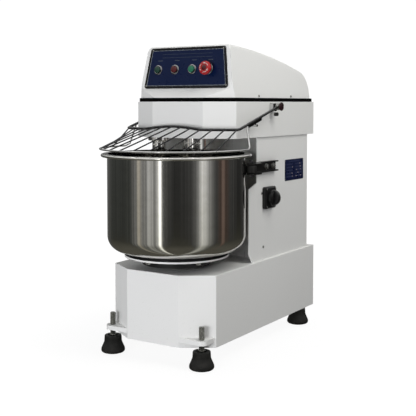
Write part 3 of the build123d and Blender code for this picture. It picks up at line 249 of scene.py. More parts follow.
def place_at(origin, out, up=(0, 0, 1)):
    """Frame with its Z axis along out and its Y axis near up."""
    z = Vector(out).normalized()
    x = Vector(up).cross(z)
    x = x.normalized() if x.length > 1e-6 else Vector((1, 0, 0))
    y = z.cross(x)
    spin = Matrix((x, y, z)).transposed().to_4x4()
    return Matrix.Translation(Vector(origin)) @ spin


def bend(before, here, after, radius, steps=6):
    """Points of the curve that rounds one corner."""
    back, on = before - here, after - here
    half = back.angle(on) / 2
    reach = min(radius / max(0.05, math.tan(half)), 0.45 * back.length, 0.45 * on.length)
    start, stop = here + back.normalized() * reach, here + on.normalized() * reach
    shares = [i / steps for i in range(steps + 1)]
    return [start * (1 - t) ** 2 + here * 2 * t * (1 - t) + stop * t**2 for t in shares]


def smooth_path(corners, radius):
    """Rounds the corners of a path of straight runs."""
    path = [corners[0]]
    for before, here, after in zip(corners, corners[1:], corners[2:]):
        path += bend(before, here, after, radius)
    return path + [corners[-1]]


def round_corners(outline, radius):
    """Rounds the corners of a closed flat outline."""
    corners = [Vector(corner) for corner in outline]
    count = len(corners)
    points = []
    for i in range(count):
        points += bend(corners[i - 1], corners[i], corners[(i + 1) % count], radius)
    return [tuple(point) for point in points]


# ---- places taken from the frame
SLOTS = {s["node"]: s["material_slot"] for s in frame["record"]["subparts"]}


def span(node):
    """Lowest and highest corner of a CAD node in mm."""
    low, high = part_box(node)
    return Vector(low) / MM, Vector(high) / MM


def middle(node):
    low, high = span(node)
    return (low + high) / 2


BOWL_AXIS = middle("bowl")
BOWL_LOW, BOWL_HIGH = span("bowl")
BOWL_R = (BOWL_HIGH.x - BOWL_LOW.x) / 2
BOWL_SHEET = 2.0
BOWL_CORNER = 45.0
RIM_LOW, RIM_HIGH = span("bowl_rim")
RIM_R = (RIM_HIGH.x - RIM_LOW.x) / 2
BEAD_R = (RIM_HIGH.z - RIM_LOW.z) / 2
DISC_LOW = span("turntable_bolts")[1].z
# Heights between which the turntable's edge is left bright.
DISC_EDGE = (DISC_LOW + 0.5, DISC_LOW + 5.5)


# ---- materials
LOOKS = {}


class Nodes:
    """Short ways to add nodes to a shader tree."""

    def __init__(self, tree):
        self.tree = tree

    def node(self, kind, **settings):
        made = self.tree.nodes.new("ShaderNode" + kind)
        for key, value in settings.items():
            setattr(made, key, value)
        return made

    def link(self, start, stop):
        self.tree.links.new(start, stop)

    def feed(self, sockets, values):
        """Gives each socket its value: a number, a colour or the output of another node."""
        for socket, value in zip(sockets, values):
            if isinstance(value, tuple):
                socket.default_value = (*value, 1)
            elif isinstance(value, (int, float)):
                socket.default_value = value
            else:
                self.link(value, socket)

    def ramp(self, value, stops, style="LINEAR"):
        """Colour ramp through stops of (place, colour). A single number stands for a grey."""
        made = self.node("ValToRGB")
        made.color_ramp.interpolation = style
        ends = made.color_ramp.elements
        while len(ends) < len(stops):
            ends.new(0.5)
        for end, (place, colour) in zip(ends, stops):
            end.position = place
            end.color = (*colour, 1) if isinstance(colour, tuple) else (colour, colour, colour, 1)
        self.link(value, made.inputs["Fac"])
        return made.outputs["Color"]

    def math(self, operation, *values, clamp=False):
        made = self.node("Math", operation=operation, use_clamp=clamp)
        self.feed(made.inputs, values)
        return made.outputs[0]

    def mix(self, share, a, b, kind="MIX"):
        made = self.node("Mix", data_type="RGBA", blend_type=kind)
        self.feed((made.inputs[0], made.inputs[6], made.inputs[7]), (share, a, b))
        return made.outputs[2]


class Look(Nodes):
    """A node material round a Principled shader, kept in LOOKS under its name."""

    def __init__(self, name, colour, roughness, metallic=0.0, ior=1.5):
        self.material = bpy.data.materials.new(name)
        self.material.use_nodes = True
        super().__init__(self.material.node_tree)
        self.shader = self.tree.nodes["Principled BSDF"]
        self.shader.inputs["Base Color"].default_value = (*colour, 1)
        self.shader.inputs["Roughness"].default_value = roughness
        self.shader.inputs["Metallic"].default_value = metallic
        self.shader.inputs["IOR"].default_value = ior
        self.position = self.node("TexCoord").outputs["Object"]
        LOOKS[name] = self.material

    def noise(self, scale, detail, stretch=None, rough=0.5):
        made = self.node("TexNoise")
        made.inputs["Scale"].default_value = scale
        made.inputs["Detail"].default_value = detail
        made.inputs["Roughness"].default_value = rough
        place = self.position
        if stretch:
            mapping = self.node("Mapping")
            mapping.inputs["Scale"].default_value = stretch
            self.link(place, mapping.inputs["Vector"])
            place = mapping.outputs["Vector"]
        self.link(place, made.inputs["Vector"])
        return made.outputs["Fac"]

    def patches(self, scale, detail, start, stop, stretch=None, rough=0.5):
        """Noise drawn through a ramp between two stops."""
        return self.ramp(self.noise(scale, detail, stretch, rough), [start, stop])

    def height(self):
        """Height above the floor in metres."""
        split = self.node("SeparateXYZ")
        self.link(self.position, split.inputs[0])
        return split.outputs["Z"]

    def colour(self, value):
        self.link(value, self.shader.inputs["Base Color"])

    def roughness(self, value):
        self.link(value, self.shader.inputs["Roughness"])

    def bump(self, *layers):
        """Stacks bump layers of (height value, strength, distance in metres)."""
        previous = None
        for value, strength, distance in layers:
            made = self.node("Bump")
            made.inputs["Strength"].default_value = strength
            made.inputs["Distance"].default_value = distance
            self.link(value, made.inputs["Height"])
            if previous:
                self.link(previous, made.inputs["Normal"])
            previous = made.outputs["Normal"]
        self.link(previous, self.shader.inputs["Normal"])


def paint(name, colour, dull, roughness=0.36, peel=0.12, dirt=0.5):
    """Sprayed enamel: orange peel, faint clouding and a little grime low down."""
    look = Look(name, colour, roughness)
    cloud = look.patches(3, 1, (0.2, 0.0), (0.9, 1.0))
    base = look.mix(look.math("MULTIPLY", cloud, 0.3), colour, dull)
    low = look.ramp(look.height(), [(0.05, 1.0), (0.32, 0.0)])
    specks = look.patches(160, 2, (0.66, 0.0), (0.74, 1.0))
    grime = look.math("MULTIPLY", look.math("MULTIPLY", low, specks), 0.35 * dirt)
    look.colour(look.mix(grime, base, (0.36, 0.33, 0.29)))
    look.roughness(look.patches(7, 2, (0.2, roughness - 0.03), (0.9, roughness + 0.05)))
    look.bump((look.noise(420, 2), peel, 0.0004))


def moulded(name, colour, roughness, grain=600, depth=0.25, dust=0.15, ior=1.5):
    """Moulded plastic with a fine grain and a trace of dust."""
    look = Look(name, colour, roughness, ior=ior)
    lighter = tuple(min(1.0, c * 1.25 + 0.02) for c in colour)
    cloud = look.patches(28, 4, (0.42, 0.0), (0.78, 1.0))
    look.colour(look.mix(look.math("MULTIPLY", cloud, dust), colour, lighter))
    look.roughness(look.patches(70, 4, (0.3, roughness * 0.85), (0.75, roughness * 1.25)))
    look.bump((look.noise(grain, 2), depth, 0.0002))


def rubber(name, colour, roughness, ior=1.4, dust=1.0):
    """Moulded rubber: fine pitting, scuffs and pale dust, more of it low down."""
    look = Look(name, colour, roughness, ior=ior)
    dusty = look.patches(60, 6, (0.5, 0.0), (0.78, 1.0), rough=0.65)
    low = look.ramp(look.height(), [(0.0, 0.9), (0.06, 0.25)])
    share = look.math("MULTIPLY", look.math("MULTIPLY", dusty, low), dust * 0.5)
    look.colour(look.mix(share, colour, (0.07, 0.065, 0.06)))
    look.roughness(look.patches(120, 3, (0.3, roughness - 0.12), (0.7, roughness + 0.1)))
    look.bump((look.noise(900, 2), 0.35, 0.0003), (look.noise(90, 3), 0.12, 0.0008))


def metal(name, bright, dark, roughness, streak, depth, spread=0.3, stretch=None, metallic=1.0, patch=7):
    """Bare metal with a drawn or turned grain along the axis that is stretched least."""
    look = Look(name, bright, roughness, metallic)
    grain = look.noise(streak, 5, stretch, 0.6)
    look.colour(look.mix(look.patches(patch, 4, (0.35, 0.0), (0.8, 0.7)), bright, dark))
    look.roughness(look.ramp(grain, [(0.3, roughness * (1 - spread)), (0.7, roughness * (1 + spread))]))
    look.bump((grain, depth, 0.0002))


def cast(name, colour, roughness):
    """Machined and painted casting, a little oily."""
    look = Look(name, colour, roughness, metallic=0.55)
    lighter = tuple(min(1.0, c * 1.8) for c in colour)
    look.colour(look.mix(look.patches(24, 5, (0.4, 0.0), (0.75, 0.6)), colour, lighter))
    look.roughness(look.patches(14, 4, (0.3, roughness - 0.2), (0.7, roughness + 0.15)))
    look.bump((look.noise(240, 3), 0.4, 0.0004))


def polished_bowl():
    """Mirror-polished spun steel: fine rings round the bowl, faint smears and blotches."""
    look = Look("polished_stainless", (0.7, 0.68, 0.62), 0.1, metallic=1.0)
    clean, worn, stained = (0.72, 0.71, 0.68), (0.57, 0.56, 0.52), (0.5, 0.49, 0.44)
    rings = look.noise(1, 6, (6, 6, 900), 0.7)
    smear = look.noise(6, 5, (1, 1, 0.35), 0.6)
    blotch = look.patches(22, 5, (0.45, 0.0), (0.7, 0.3), (1, 1, 1.6), 0.7)
    steel = look.mix(look.ramp(smear, [(0.3, 0.0), (0.8, 0.6)]), clean, worn)
    look.colour(look.mix(blotch, steel, stained))
    blur = look.math("ADD", look.ramp(rings, [(0.3, 0.0), (0.7, 0.05)]), 0.035)
    look.roughness(look.math("ADD", blur, look.ramp(smear, [(0.45, 0.0), (0.8, 0.07)])))
    look.bump((rings, 0.05, 0.0002), (look.noise(5, 2, (1, 1, 0.4)), 0.05, 0.004))


def turntable_in_painted_shade(low, high):
    """Disc coloured black as painted shade for the shadow under the bowl; its machined edge, between two
    heights in metres, is left bright.
    """
    look = Look("turntable_steel", (0.01, 0.01, 0.01), 0.45)
    height = look.height()
    sharpness = 4000.0
    above = look.math("MULTIPLY", look.math("SUBTRACT", height, low), sharpness, clamp=True)
    below = look.math("MULTIPLY", look.math("SUBTRACT", high, height), sharpness, clamp=True)
    turned = look.patches(1, 4, (0.3, 0.0), (0.7, 1.0), (5, 5, 700))
    bright = look.mix(turned, (0.86, 0.86, 0.85), (0.72, 0.72, 0.71))
    cloud = look.patches(30, 4, (0.4, 0.0), (0.8, 1.0))
    # black: painted shade, the shadow that the bowl casts on the disc.
    black = look.mix(cloud, (0.008, 0.008, 0.008), (0.02, 0.02, 0.019))
    look.colour(look.mix(look.math("MULTIPLY", above, below), black, bright))
    look.roughness(look.patches(60, 4, (0.3, 0.34), (0.75, 0.5)))
    look.bump((look.noise(300, 2), 0.2, 0.0003))


paint("white_paint", (0.80, 0.80, 0.79), (0.74, 0.735, 0.72))
paint("cover_white", (0.81, 0.81, 0.80), (0.76, 0.755, 0.745), 0.3, 0.08, 0.2)
paint("motor_paint", (0.16, 0.21, 0.25), (0.12, 0.16, 0.19), 0.42, 0.2, 1.0)
paint("black_paint", (0.004, 0.004, 0.004), (0.009, 0.009, 0.009), 0.34, 0.15, 0.3)

polished_bowl()
turntable_in_painted_shade(*(height * MM for height in DISC_EDGE))
cast("cast_iron_grey", (0.17, 0.17, 0.165), 0.55)
metal("splash_stainless", (0.78, 0.78, 0.77), (0.62, 0.62, 0.61), 0.36, 260, 0.06,
      stretch=(1, 1, 0.03), metallic=0.55)
metal("bright_chrome", (0.86, 0.85, 0.83), (0.72, 0.71, 0.68), 0.07, 40, 0.02, stretch=(1, 1, 4))
# rim_stainless: the bowl's steel coloured lighter than the bowl itself, a painted highlight on the rolled
# rim.
metal("rim_stainless", (0.84, 0.83, 0.8), (0.74, 0.73, 0.7), 0.15, 60, 0.03, stretch=(1, 1, 8))
# bezel_chrome: chrome coloured dark grey, painted shade for the dark reflections in the button collars.
metal("bezel_chrome", (0.36, 0.36, 0.37), (0.22, 0.22, 0.23), 0.1, 90, 0.03)
# guard_wire: chrome coloured near black, painted shade for the dark reflections on the guard's rod, cross
# wires and welds and on the roller axles.
metal("guard_wire", (0.07, 0.07, 0.073), (0.025, 0.025, 0.027), 0.16, 150, 0.04, spread=0.5)
metal("bright_wire", (0.7, 0.7, 0.7), (0.5, 0.5, 0.5), 0.14, 150, 0.04)
metal("zinc_steel", (0.5, 0.5, 0.49), (0.3, 0.3, 0.28), 0.28, 200, 0.1, spread=0.4)
metal("stud_steel", (0.24, 0.24, 0.22), (0.0, 0.0, 0.0), 0.2, 300, 0.3,
      spread=0.6, stretch=(1, 1, 0.4), patch=170)
metal("shaft_steel", (0.72, 0.72, 0.71), (0.55, 0.55, 0.54), 0.13, 120, 0.05, stretch=(1, 1, 12))
metal("bearing_steel", (0.6, 0.6, 0.6), (0.45, 0.45, 0.45), 0.2, 100, 0.04, stretch=(1, 1, 20))
metal("laminations", (0.4, 0.4, 0.41), (0.25, 0.25, 0.26), 0.4, 60, 0.4, stretch=(1, 1, 60))

rubber("foot_rubber", (0.0085, 0.0085, 0.0077), 0.6, 1.36, 0.8)
rubber("gasket_rubber", (0.0006, 0.0006, 0.0006), 0.9, 1.15, 0.1)
rubber("belt_rubber", (0.03, 0.03, 0.03), 0.8)

moulded("black_plastic", (0.006, 0.006, 0.0065), 0.32, ior=1.42)
moulded("black_gloss", (0.004, 0.004, 0.005), 0.25, 300, 0.05, ior=1.35)
moulded("roller_nylon", (0.010, 0.010, 0.010), 0.4, 300, 0.3)
moulded("box_grey", (0.42, 0.42, 0.4), 0.5, 400, 0.2)
moulded("panel_navy", (0.0022, 0.008, 0.038), 0.3, 1200, 0.15, 0.12, 1.28)
moulded("plate_navy", (0.003, 0.0062, 0.038), 0.3, 1200, 0.15, 0.15, 1.34)
moulded("cap_green_dark", (0.005, 0.036, 0.023), 0.2, 300, 0.1)
moulded("cap_red_dark", (0.07, 0.006, 0.008), 0.2, 300, 0.1)
moulded("cap_green_light", (0.014, 0.14, 0.075), 0.18, 300, 0.1)
moulded("estop_red", (0.36, 0.012, 0.014), 0.22, 300, 0.1)
moulded("knob_red", (0.016, 0.002, 0.004), 0.3, 300, 0.12)
# Pale grey of the painted highlight line inside the panel's frame.
moulded("highlight_grey", (0.22, 0.24, 0.26), 0.35, 300, 0.1)
moulded("label_dim", (0.03, 0.04, 0.065), 0.4, 300, 0.1)
moulded("label_blue", (0.018, 0.027, 0.075), 0.4, 300, 0.1)
moulded("label_white", (0.56, 0.47, 0.45), 0.4, 300, 0.1)

# These two CAD nodes look different from the rest of their slot.
OWN_LOOKS = {"turntable": "turntable_steel", "hook_bearing_housing": "bright_chrome"}
for name, node in frame["nodes"].items():
    node.data.materials.clear()
    node.data.materials.append(LOOKS[OWN_LOOKS.get(name, SLOTS[name])])


# ---- bowl
def bowl():
    at = shift(0, BOWL_AXIS.y)
    low, top = BOWL_LOW.z, BOWL_HIGH.z
    centre = (BOWL_R - BOWL_CORNER, low + BOWL_CORNER)
    outer = [(0, low)] + arc_points(centre, BOWL_CORNER, -90, 0, 18)
    inner = arc_points(centre, BOWL_CORNER - BOWL_SHEET, 0, -90, 18)
    walls = [(BOWL_R, low + (top - low) * i / 8) for i in range(2, 9)]
    back = [(BOWL_R - BOWL_SHEET, z) for _, z in reversed(walls)]
    shape = Shape()
    shape.lathe(outer + walls + back + inner + [(0, low + BOWL_SHEET)], at, 180)
    shape.build("bowl_vessel", "polished_stainless", "bowl", "bowl")

    top, under = RIM_HIGH.z, RIM_HIGH.z - BOWL_SHEET
    bead = (RIM_R - BEAD_R, top - BEAD_R)
    profile = [(BOWL_R, top), (bead[0] - 2, top)]
    profile += arc_points(bead, BEAD_R, 90, -180, 20)
    profile += [(bead[0] - BEAD_R, under), (BOWL_R, under)]
    shape = Shape()
    shape.lathe(profile, at, 180, closed=True)
    shape.build("bowl_rolled_rim", "rim_stainless", "bowl", "bowl_rim")


bowl()


# ---- spiral hook and breaker bar
def spiral_hook():
    """One tapering rod that starts on the axis, winds round it and comes back to it."""
    axis = middle("hook_shaft")
    low, high = span("spiral_hook")
    rod = 12.0
    coil = (high.x - low.x) / 2 - rod
    top, bottom, turns, steps = 512.0, 347.0, 1.1, 90
    lead_in, start_rise, end_drop, taper = 0.16, 14, 6, 0.22
    path, radii = [], []
    for i in range(steps + 1):
        share = i / steps
        angle = 2 * math.pi * turns * (1 - share)
        lead = min(1.0, share / lead_in)
        tail = min(1.0, (1 - share) / lead_in)
        grow = math.sin(math.pi / 2 * lead) * math.sin(math.pi / 2 * tail) ** 0.8
        rise = start_rise * (1 - lead) ** 2 - end_drop * (1 - tail) ** 2
        z = bottom + (top - bottom) * (1 - share) + rise
        path.append((coil * grow * math.cos(angle), axis.y + coil * grow * math.sin(angle), z))
        radii.append(rod * (1 - taper * (1 - tail)))
    shape = Shape()
    shape.tube([(0, axis.y, top + 24)] + path, [rod] + radii, 28)
    tip = radii[-1]
    shape.lathe([(0, -tip)] + arc_points((0, 0), tip, -80, 80, 12) + [(0, tip)], shift(*path[-1]), 28)
    hub = [(0, -40), (19, -40), (24, -34), (26, -27), (26, -2), (24, 0), (0, 0)]
    shape.lathe(hub, shift(0, axis.y, high.z), 64)
    shape.build("spiral_hook_rod", "bright_chrome", "hook", "spiral_hook", sharp=40)
    screw = Shape()
    screw.nut(10, 24, 29, place_at((0, axis.y, high.z - 18), (1, 0.2, 0)), 1)
    screw.build("hook_set_screw", "zinc_steel", "hook", slot="zinc_steel")


def breaker_bar():
    low, high = span("breaker_bar")
    at = shift((low.x + high.x) / 2, (low.y + high.y) / 2)
    bar, flange, stem = 20.0, (high.x - low.x) / 2, 10.0
    flange_low, head = 613.0, 623.0
    profile = [(0, low.z)] + arc_points((bar - 8, low.z + 8), 8, -90, 0, 8)
    profile += [(bar, flange_low - 3), (bar + 3, flange_low), (flange - 1, flange_low)]
    profile += [(flange, flange_low + 1), (flange, head), (stem, head), (stem, high.z), (0, high.z)]
    shape = Shape()
    shape.lathe(profile, at, 72)
    shape.nut(28, head + 4, head + 14, at)
    shape.build("breaker_bar_rod", "bright_chrome", "frame", "breaker_bar")


spiral_hook()
breaker_bar()

# ---- wire guard
PIVOT = middle("guard_knobs")
ARM_X, ARM_R, ARM_END_Y = 195.0, 4.0, PIVOT.y - 9
CORNER_Y, CORNER_Z, BEND_R = -140.0, 649.0, 16
KINK_X, KINK_Y, BAR_RISE = 95.0, -184.0, 8.0
RING_WIRE = 2.5
RING_R = 220.0
RING_Z = span("guard_ring")[0].z + RING_WIRE
RING_END_Y = -110.0
HANGER_Y = -97.0
WIRE_R, WIRE_COUNT = 2.0, 13
WIRE_HEAD_X, WIRE_HEAD_STEP = 190.0, 31.5
WIRE_FOOT_TURN, WIRE_FOOT_STEP = 63.0, 12.3
WELD_HEAD, WELD_FOOT = 3.8, 2.9
TAB_FRONT, TAB_BACK, TAB_DEPTH = -87.0, -11.0, 11.0
BLOCK_IN, BLOCK_OUT, KNOB_IN = 173.0, 187.0, 203.0
BLOCK_WIDE, BLOCK_HIGH, BLOCK_BACK = 28, 22, 2
BLOCK_SCREWS = ((-9, 6), (-3, -11))
REST_FRONT, REST_DOWN = 8, 23
STOP_PIN_Y, STOP_PIN_R = -45.0, 4


def arm_point(y, side):
    share = (y - PIVOT.y) / (CORNER_Y - PIVOT.y)
    return Vector((side * ARM_X, y, PIVOT.z + share * (CORNER_Z - PIVOT.z)))


def bar_point(x):
    reach = abs(x)
    if reach > KINK_X:
        share = (reach - KINK_X) / (ARM_X - KINK_X)
        return Vector((x, KINK_Y + share * (CORNER_Y - KINK_Y), CORNER_Z))
    return Vector((x, KINK_Y, CORNER_Z + BAR_RISE * math.cos(math.pi * x / (2 * KINK_X))))


def ring_point(degrees):
    turn = math.radians(degrees)
    return Vector((RING_R * math.sin(turn), BOWL_AXIS.y - RING_R * math.cos(turn), RING_Z))


def guard_rail():
    """Bent rod of both arms and the front bar, a welded tab on each arm, and the pivot eyes."""
    rail, eyes = Shape(), Shape()
    corners = [arm_point(ARM_END_Y, -1), arm_point(CORNER_Y, -1)]
    corners += [bar_point(KINK_X * step / 4) for step in range(-4, 5)]
    corners += [arm_point(CORNER_Y, 1), arm_point(ARM_END_Y, 1)]
    rail.tube(smooth_path(corners, BEND_R), ARM_R, 16)
    slope = arm_point(TAB_BACK, 1) - arm_point(TAB_FRONT, 1)
    length, drop = slope.length, TAB_DEPTH * math.cos(math.atan2(slope.z, slope.y))
    outline = [(0, 3 - drop), (3, -drop), (length - 4, -drop), (length, 4 - drop), (length, -2), (0, -2)]
    eye = [(6.1, -5), (9.5, -5), (11, -3.6), (11, 3.6), (9.5, 5), (6.1, 5)]
    for side in (-1, 1):
        eyes.lathe(eye, place_at((side * ARM_X, PIVOT.y, PIVOT.z), (1, 0, 0)), 40, closed=True)
        tab = place_at(arm_point(TAB_FRONT, side), (1, 0, 0), slope.cross(Vector((-1, 0, 0))))
        rail.prism(outline, -1.5, 1.5, 0.4, tab)
    rail_nodes = ("guard_arm_left", "guard_arm_right", "guard_front_bar")
    rail.build("guard_rail", "guard_wire", "guard", *rail_nodes, sharp=40)
    eyes.build("guard_arm_eyes", "zinc_steel", "guard", slot="guard_wire")


def guard_ring():
    """Wire ring over the bowl's rim whose two ends bend up to the arms."""
    ring = Shape()
    turn = math.degrees(math.asin((RING_END_Y - BOWL_AXIS.y) / RING_R))
    flat = arc_points((0, BOWL_AXIS.y), RING_R, turn, -180 - turn, 96)
    arc = [Vector((x, y, RING_Z)) for x, y in flat]
    start, stop = arm_point(HANGER_Y, 1), arm_point(HANGER_Y, -1)
    rising = [start * (1 - t) + arc[0] * t for t in (0, 0.5, 0.9)]
    falling = [arc[-1] * (1 - t) + stop * t for t in (0.1, 0.5, 1)]
    ring.tube(rising + arc[2:-2] + falling, RING_WIRE, 14)
    ring.build("guard_ring_wire", "bright_wire", "guard", "guard_ring", sharp=60)


def guard_wires():
    """Cross wires from the front bar to the ring, with a small weld at each end."""
    wires, welds = Shape(), Shape()
    squash = Matrix.Diagonal((1.0, 1.0, 0.8, 1.0))
    for number in range(WIRE_COUNT):
        head = bar_point(WIRE_HEAD_X - WIRE_HEAD_STEP * number)
        foot = ring_point(WIRE_FOOT_TURN - WIRE_FOOT_STEP * number)
        way = (foot - head).normalized()
        path = [head + way * t for t in (0, 0.8, 3)] + [foot - way * t for t in (3, 0.8, -0.2)]
        wires.tube(path, [1.2, 1.8, WIRE_R, WIRE_R, 1.8, 1.2], 12)
        for spot, size in ((head, WELD_HEAD), (foot - way, WELD_FOOT)):
            ball = [(0, -size)] + arc_points((0, 0), size, -60, 60, 6) + [(0, size)]
            welds.lathe(ball, shift(*spot) @ squash, 14)
    wires.build("guard_cross_wires", "guard_wire", "guard", "guard_wires", sharp=60)
    welds.build("guard_welds", "guard_wire", "guard", slot="guard_wire", sharp=80)


def guard_pivots():
    """Block, pivot, rest pin and stop pin on each side of the head, with the block's screws."""
    pivots, screws = Shape(), Shape()
    pin_z = span("guard_pivots")[0].z + STOP_PIN_R
    thick, reach = BLOCK_OUT - BLOCK_IN, KNOB_IN - BLOCK_IN
    socket_head = [(0, -2), (3.4, -2), (3.4, 2.6), (2.8, 3.2), (1.6, 3.2), (1.6, 1.5), (0, 1.5)]
    for side in (-1, 1):
        out = place_at((side * BLOCK_IN, PIVOT.y, PIVOT.z), (side, 0, 0))
        outline = rounded_box(BLOCK_WIDE, BLOCK_HIGH, 3)
        pivots.prism([(side * (x - BLOCK_BACK), y) for x, y in outline], 0, thick, 1.2, out)
        pivots.rod(6, 0, reach, out, 32, (1, 1))
        for x, y in BLOCK_SCREWS:
            screws.lathe(socket_head, out @ shift(side * x, y, thick), 20)
        rest = place_at((side * BLOCK_IN, PIVOT.y - REST_FRONT, PIVOT.z - REST_DOWN), (side, 0, 0))
        screws.rod(5.6, 14, 25, rest, 28, (0.8, 1))
        pivots.rod(3.4, 0, 13.6, rest)
        stop = place_at((side * BLOCK_IN, STOP_PIN_Y, pin_z), (side, 0, 0))
        pivots.rod(STOP_PIN_R, 0, 28, stop, 24, (0.8, 1))
    pivots.build("guard_pivot_blocks", "bright_wire", "frame", "guard_pivots")
    screws.build("pivot_set_screws", "black_paint", "frame", slot="black_paint")


def guard_knobs():
    knobs = Shape()
    low, high = span("guard_knobs")
    thick = high.x - KNOB_IN
    outline = ribbed_circle((high.z - low.z) / 2, 0.9, 9, 3, 72)
    for side in (-1, 1):
        out = place_at((side * KNOB_IN, PIVOT.y, PIVOT.z), (side, 0, 0))
        knobs.prism(outline, 0, thick - 0.8, 1.3, out)
        knobs.lathe([(0, thick - 1), (7, thick - 1), (6.2, thick), (0, thick)], out, 32)
    knobs.build("guard_pivot_knobs", "knob_red", "frame", "guard_knobs")


guard_rail()
guard_ring()
guard_wires()
guard_pivots()
guard_knobs()

# ---- control panel
PANEL_LOW, PANEL_HIGH = Vector((0, -119.0, 767.0)), Vector((0, -103.0, 887.0))
PANEL_UP = PANEL_HIGH - PANEL_LOW
PANEL_HALF = PANEL_UP.length / 2
PANEL_WIDE_LOW, PANEL_WIDE_HIGH = 148.0, 131.0
PANEL_AT = place_at((PANEL_LOW + PANEL_HIGH) / 2, (0, -PANEL_UP.z, PANEL_UP.y), PANEL_UP)
PANEL_THICK, BUTTON_V = 1.5, -5.0
BUTTONS = (
    ("on_button", -100.0, "cap_green_dark"),
    ("off_button", -40.0, "cap_red_dark"),
    ("start_button", 21.0, "cap_green_light"),
)
ESTOP_X, ESTOP_EDGE_R, ESTOP_EDGE_OUT, ESTOP_ROUND = 77.0, 14.0, 20.0, 5.6
COLLAR_LOW, STEM_R, STEM_LOW = -16, 5, -22
LABEL_V, LABEL_OFFSET, LABEL_WIDE = 22.0, 6.0, 17
RULES_V, RULE_WIDE = (41.0, 31.0), 176
PRINT_OUT = 0.25
ARROW_START, ARROW_BAND, ARROW_TIP, ARROW_DEEP = 20, 62, 86, 0.6


def on_panel(x, y, out=0.0):
    return PANEL_AT @ shift(x, y, out)


def panel_outline(inwards, radius):
    low, high, half = PANEL_WIDE_LOW, PANEL_WIDE_HIGH, PANEL_HALF
    corners = [(-low, -half), (low, -half), (high, half), (-high, half)]
    return round_corners(inset(corners, inwards), radius)


def panel_surround():
    """Black frame: one profile of (inwards, outwards) steps that runs round the panel."""
    profile = [(0, 0), (0, 1.5), (0.9, 2.4), (3.2, 2.5), (4.6, 2.1), (5.4, 2.3), (6.4, 2.0), (7, 1.4), (7, 0)]
    rings = [panel_outline(inwards, 9 - inwards * 0.6) for inwards, _ in profile]
    points = [(x, y, out) for ring, (_, out) in zip(rings, profile) for x, y in ring]
    count, rows = len(rings[0]), len(rings)
    faces = []
    for k in range(rows):
        faces += band(k * count, (k + 1) % rows * count, count)
    shape = Shape()
    shape.add(points, faces, PANEL_AT)
    shape.build("panel_surround", "black_gloss", "frame", "control_panel_frame", sharp=50)

    # A pale grey line just inside the black frame: a painted highlight for the frame's glossy inner edge.
    highlight_line = Shape()
    path = [PANEL_AT @ Vector((x, y, PANEL_THICK + 0.2)) for x, y in panel_outline(8.2, 5)]
    highlight_line.tube(path, 0.7, 6, closed=True)
    highlight_line.build("panel_highlight_line", "highlight_grey", "frame", slot="box_grey")


def panel_labels():
    """Blank bars where the photograph has words, and two rules where it has a title."""
    labels = Shape()
    for x in [x for _, x, _ in BUTTONS] + [ESTOP_X]:
        spot = on_panel(x + LABEL_OFFSET, LABEL_V, PANEL_THICK)
        labels.prism(rounded_box(LABEL_WIDE, 2.6, 1.2), 0, PRINT_OUT, 0.08, spot)
    for y in RULES_V:
        rule = rounded_box(RULE_WIDE, 1.0, 0.45)
        labels.prism(rule, 0, PRINT_OUT, 0.08, on_panel(0, y, PANEL_THICK))
    labels.build("panel_label_bars", "label_dim", "frame", slot="box_grey")


def button_collars():
    low = COLLAR_LOW
    small = [(11, low), (11, 0), (14.5, 0), (14.5, 1.4), (13.9, 2.2), (12.6, 2.6), (12.3, 4.4)]
    small += [(11.6, 5), (10.6, 4.8), (10.3, 4), (10.3, 0), (5.2, 0), (5.2, low)]
    large = [(11, low), (11, 0), (16, 0), (16, 2), (15, 3), (14.4, 5.4), (13.6, 5.9), (5.2, 5.9), (5.2, low)]
    collars = Shape()
    for _, x, _ in BUTTONS:
        collars.lathe(small, on_panel(x, BUTTON_V, PANEL_THICK), 56, closed=True)
    collars.lathe(large, on_panel(ESTOP_X, BUTTON_V, PANEL_THICK), 56, closed=True)
    collars.build("button_collars", "bezel_chrome", "frame", "button_bezels")


def button_caps():
    profile = [(0, STEM_LOW), (STEM_R, STEM_LOW), (STEM_R, 5), (9.6, 5.4), (10, 6.2), (10, 8)]
    profile += arc_points((8, 8), 2, 0, 70, 5)
    profile += [(6, 10.15), (3, 10.35), (0, 10.4)]
    for node, x, look in BUTTONS:
        cap = Shape()
        cap.lathe(profile, on_panel(x, BUTTON_V), 48)
        cap.build(node + "_cap", look, node, node)


def emergency_stop():
    at = on_panel(ESTOP_X, BUTTON_V)
    edge = (ESTOP_EDGE_R, ESTOP_EDGE_OUT)
    profile = [(0, STEM_LOW), (STEM_R, STEM_LOW), (STEM_R, 13), (12, 13.6), (18, 14.6)]
    profile += [(19.4, 16), (20, 18), (19.9, 20)] + arc_points(edge, ESTOP_ROUND, 0, 80, 9)
    profile += [(11.2, 25.9), (10.4, 26.6), (9.8, 26.4), (9.2, 25.4), (0, 24.8)]
    head = Shape()
    head.lathe(profile, at, 72)
    head.build("emergency_stop_head", "estop_red", "estop_button", "estop_button", sharp=50)
    centre = Shape()
    centre.lathe([(0, 24.4), (8.6, 24.4), (8.6, 25.2), (7.8, 25.9), (4, 26.6), (0, 27)], at, 48)
    centre.build("emergency_stop_centre", "cap_red_dark", "estop_button", slot="cap_red_dark")


def estop_height(radius):
    """Height of the mushroom head's dome over the panel, plus the thickness of the print."""
    over = max(0.0, radius - ESTOP_EDGE_R)
    dome = ESTOP_EDGE_OUT + math.sqrt(max(0.0, ESTOP_ROUND**2 - over**2))
    return dome + 0.35 + max(0, ESTOP_EDGE_R - radius) * 0.12


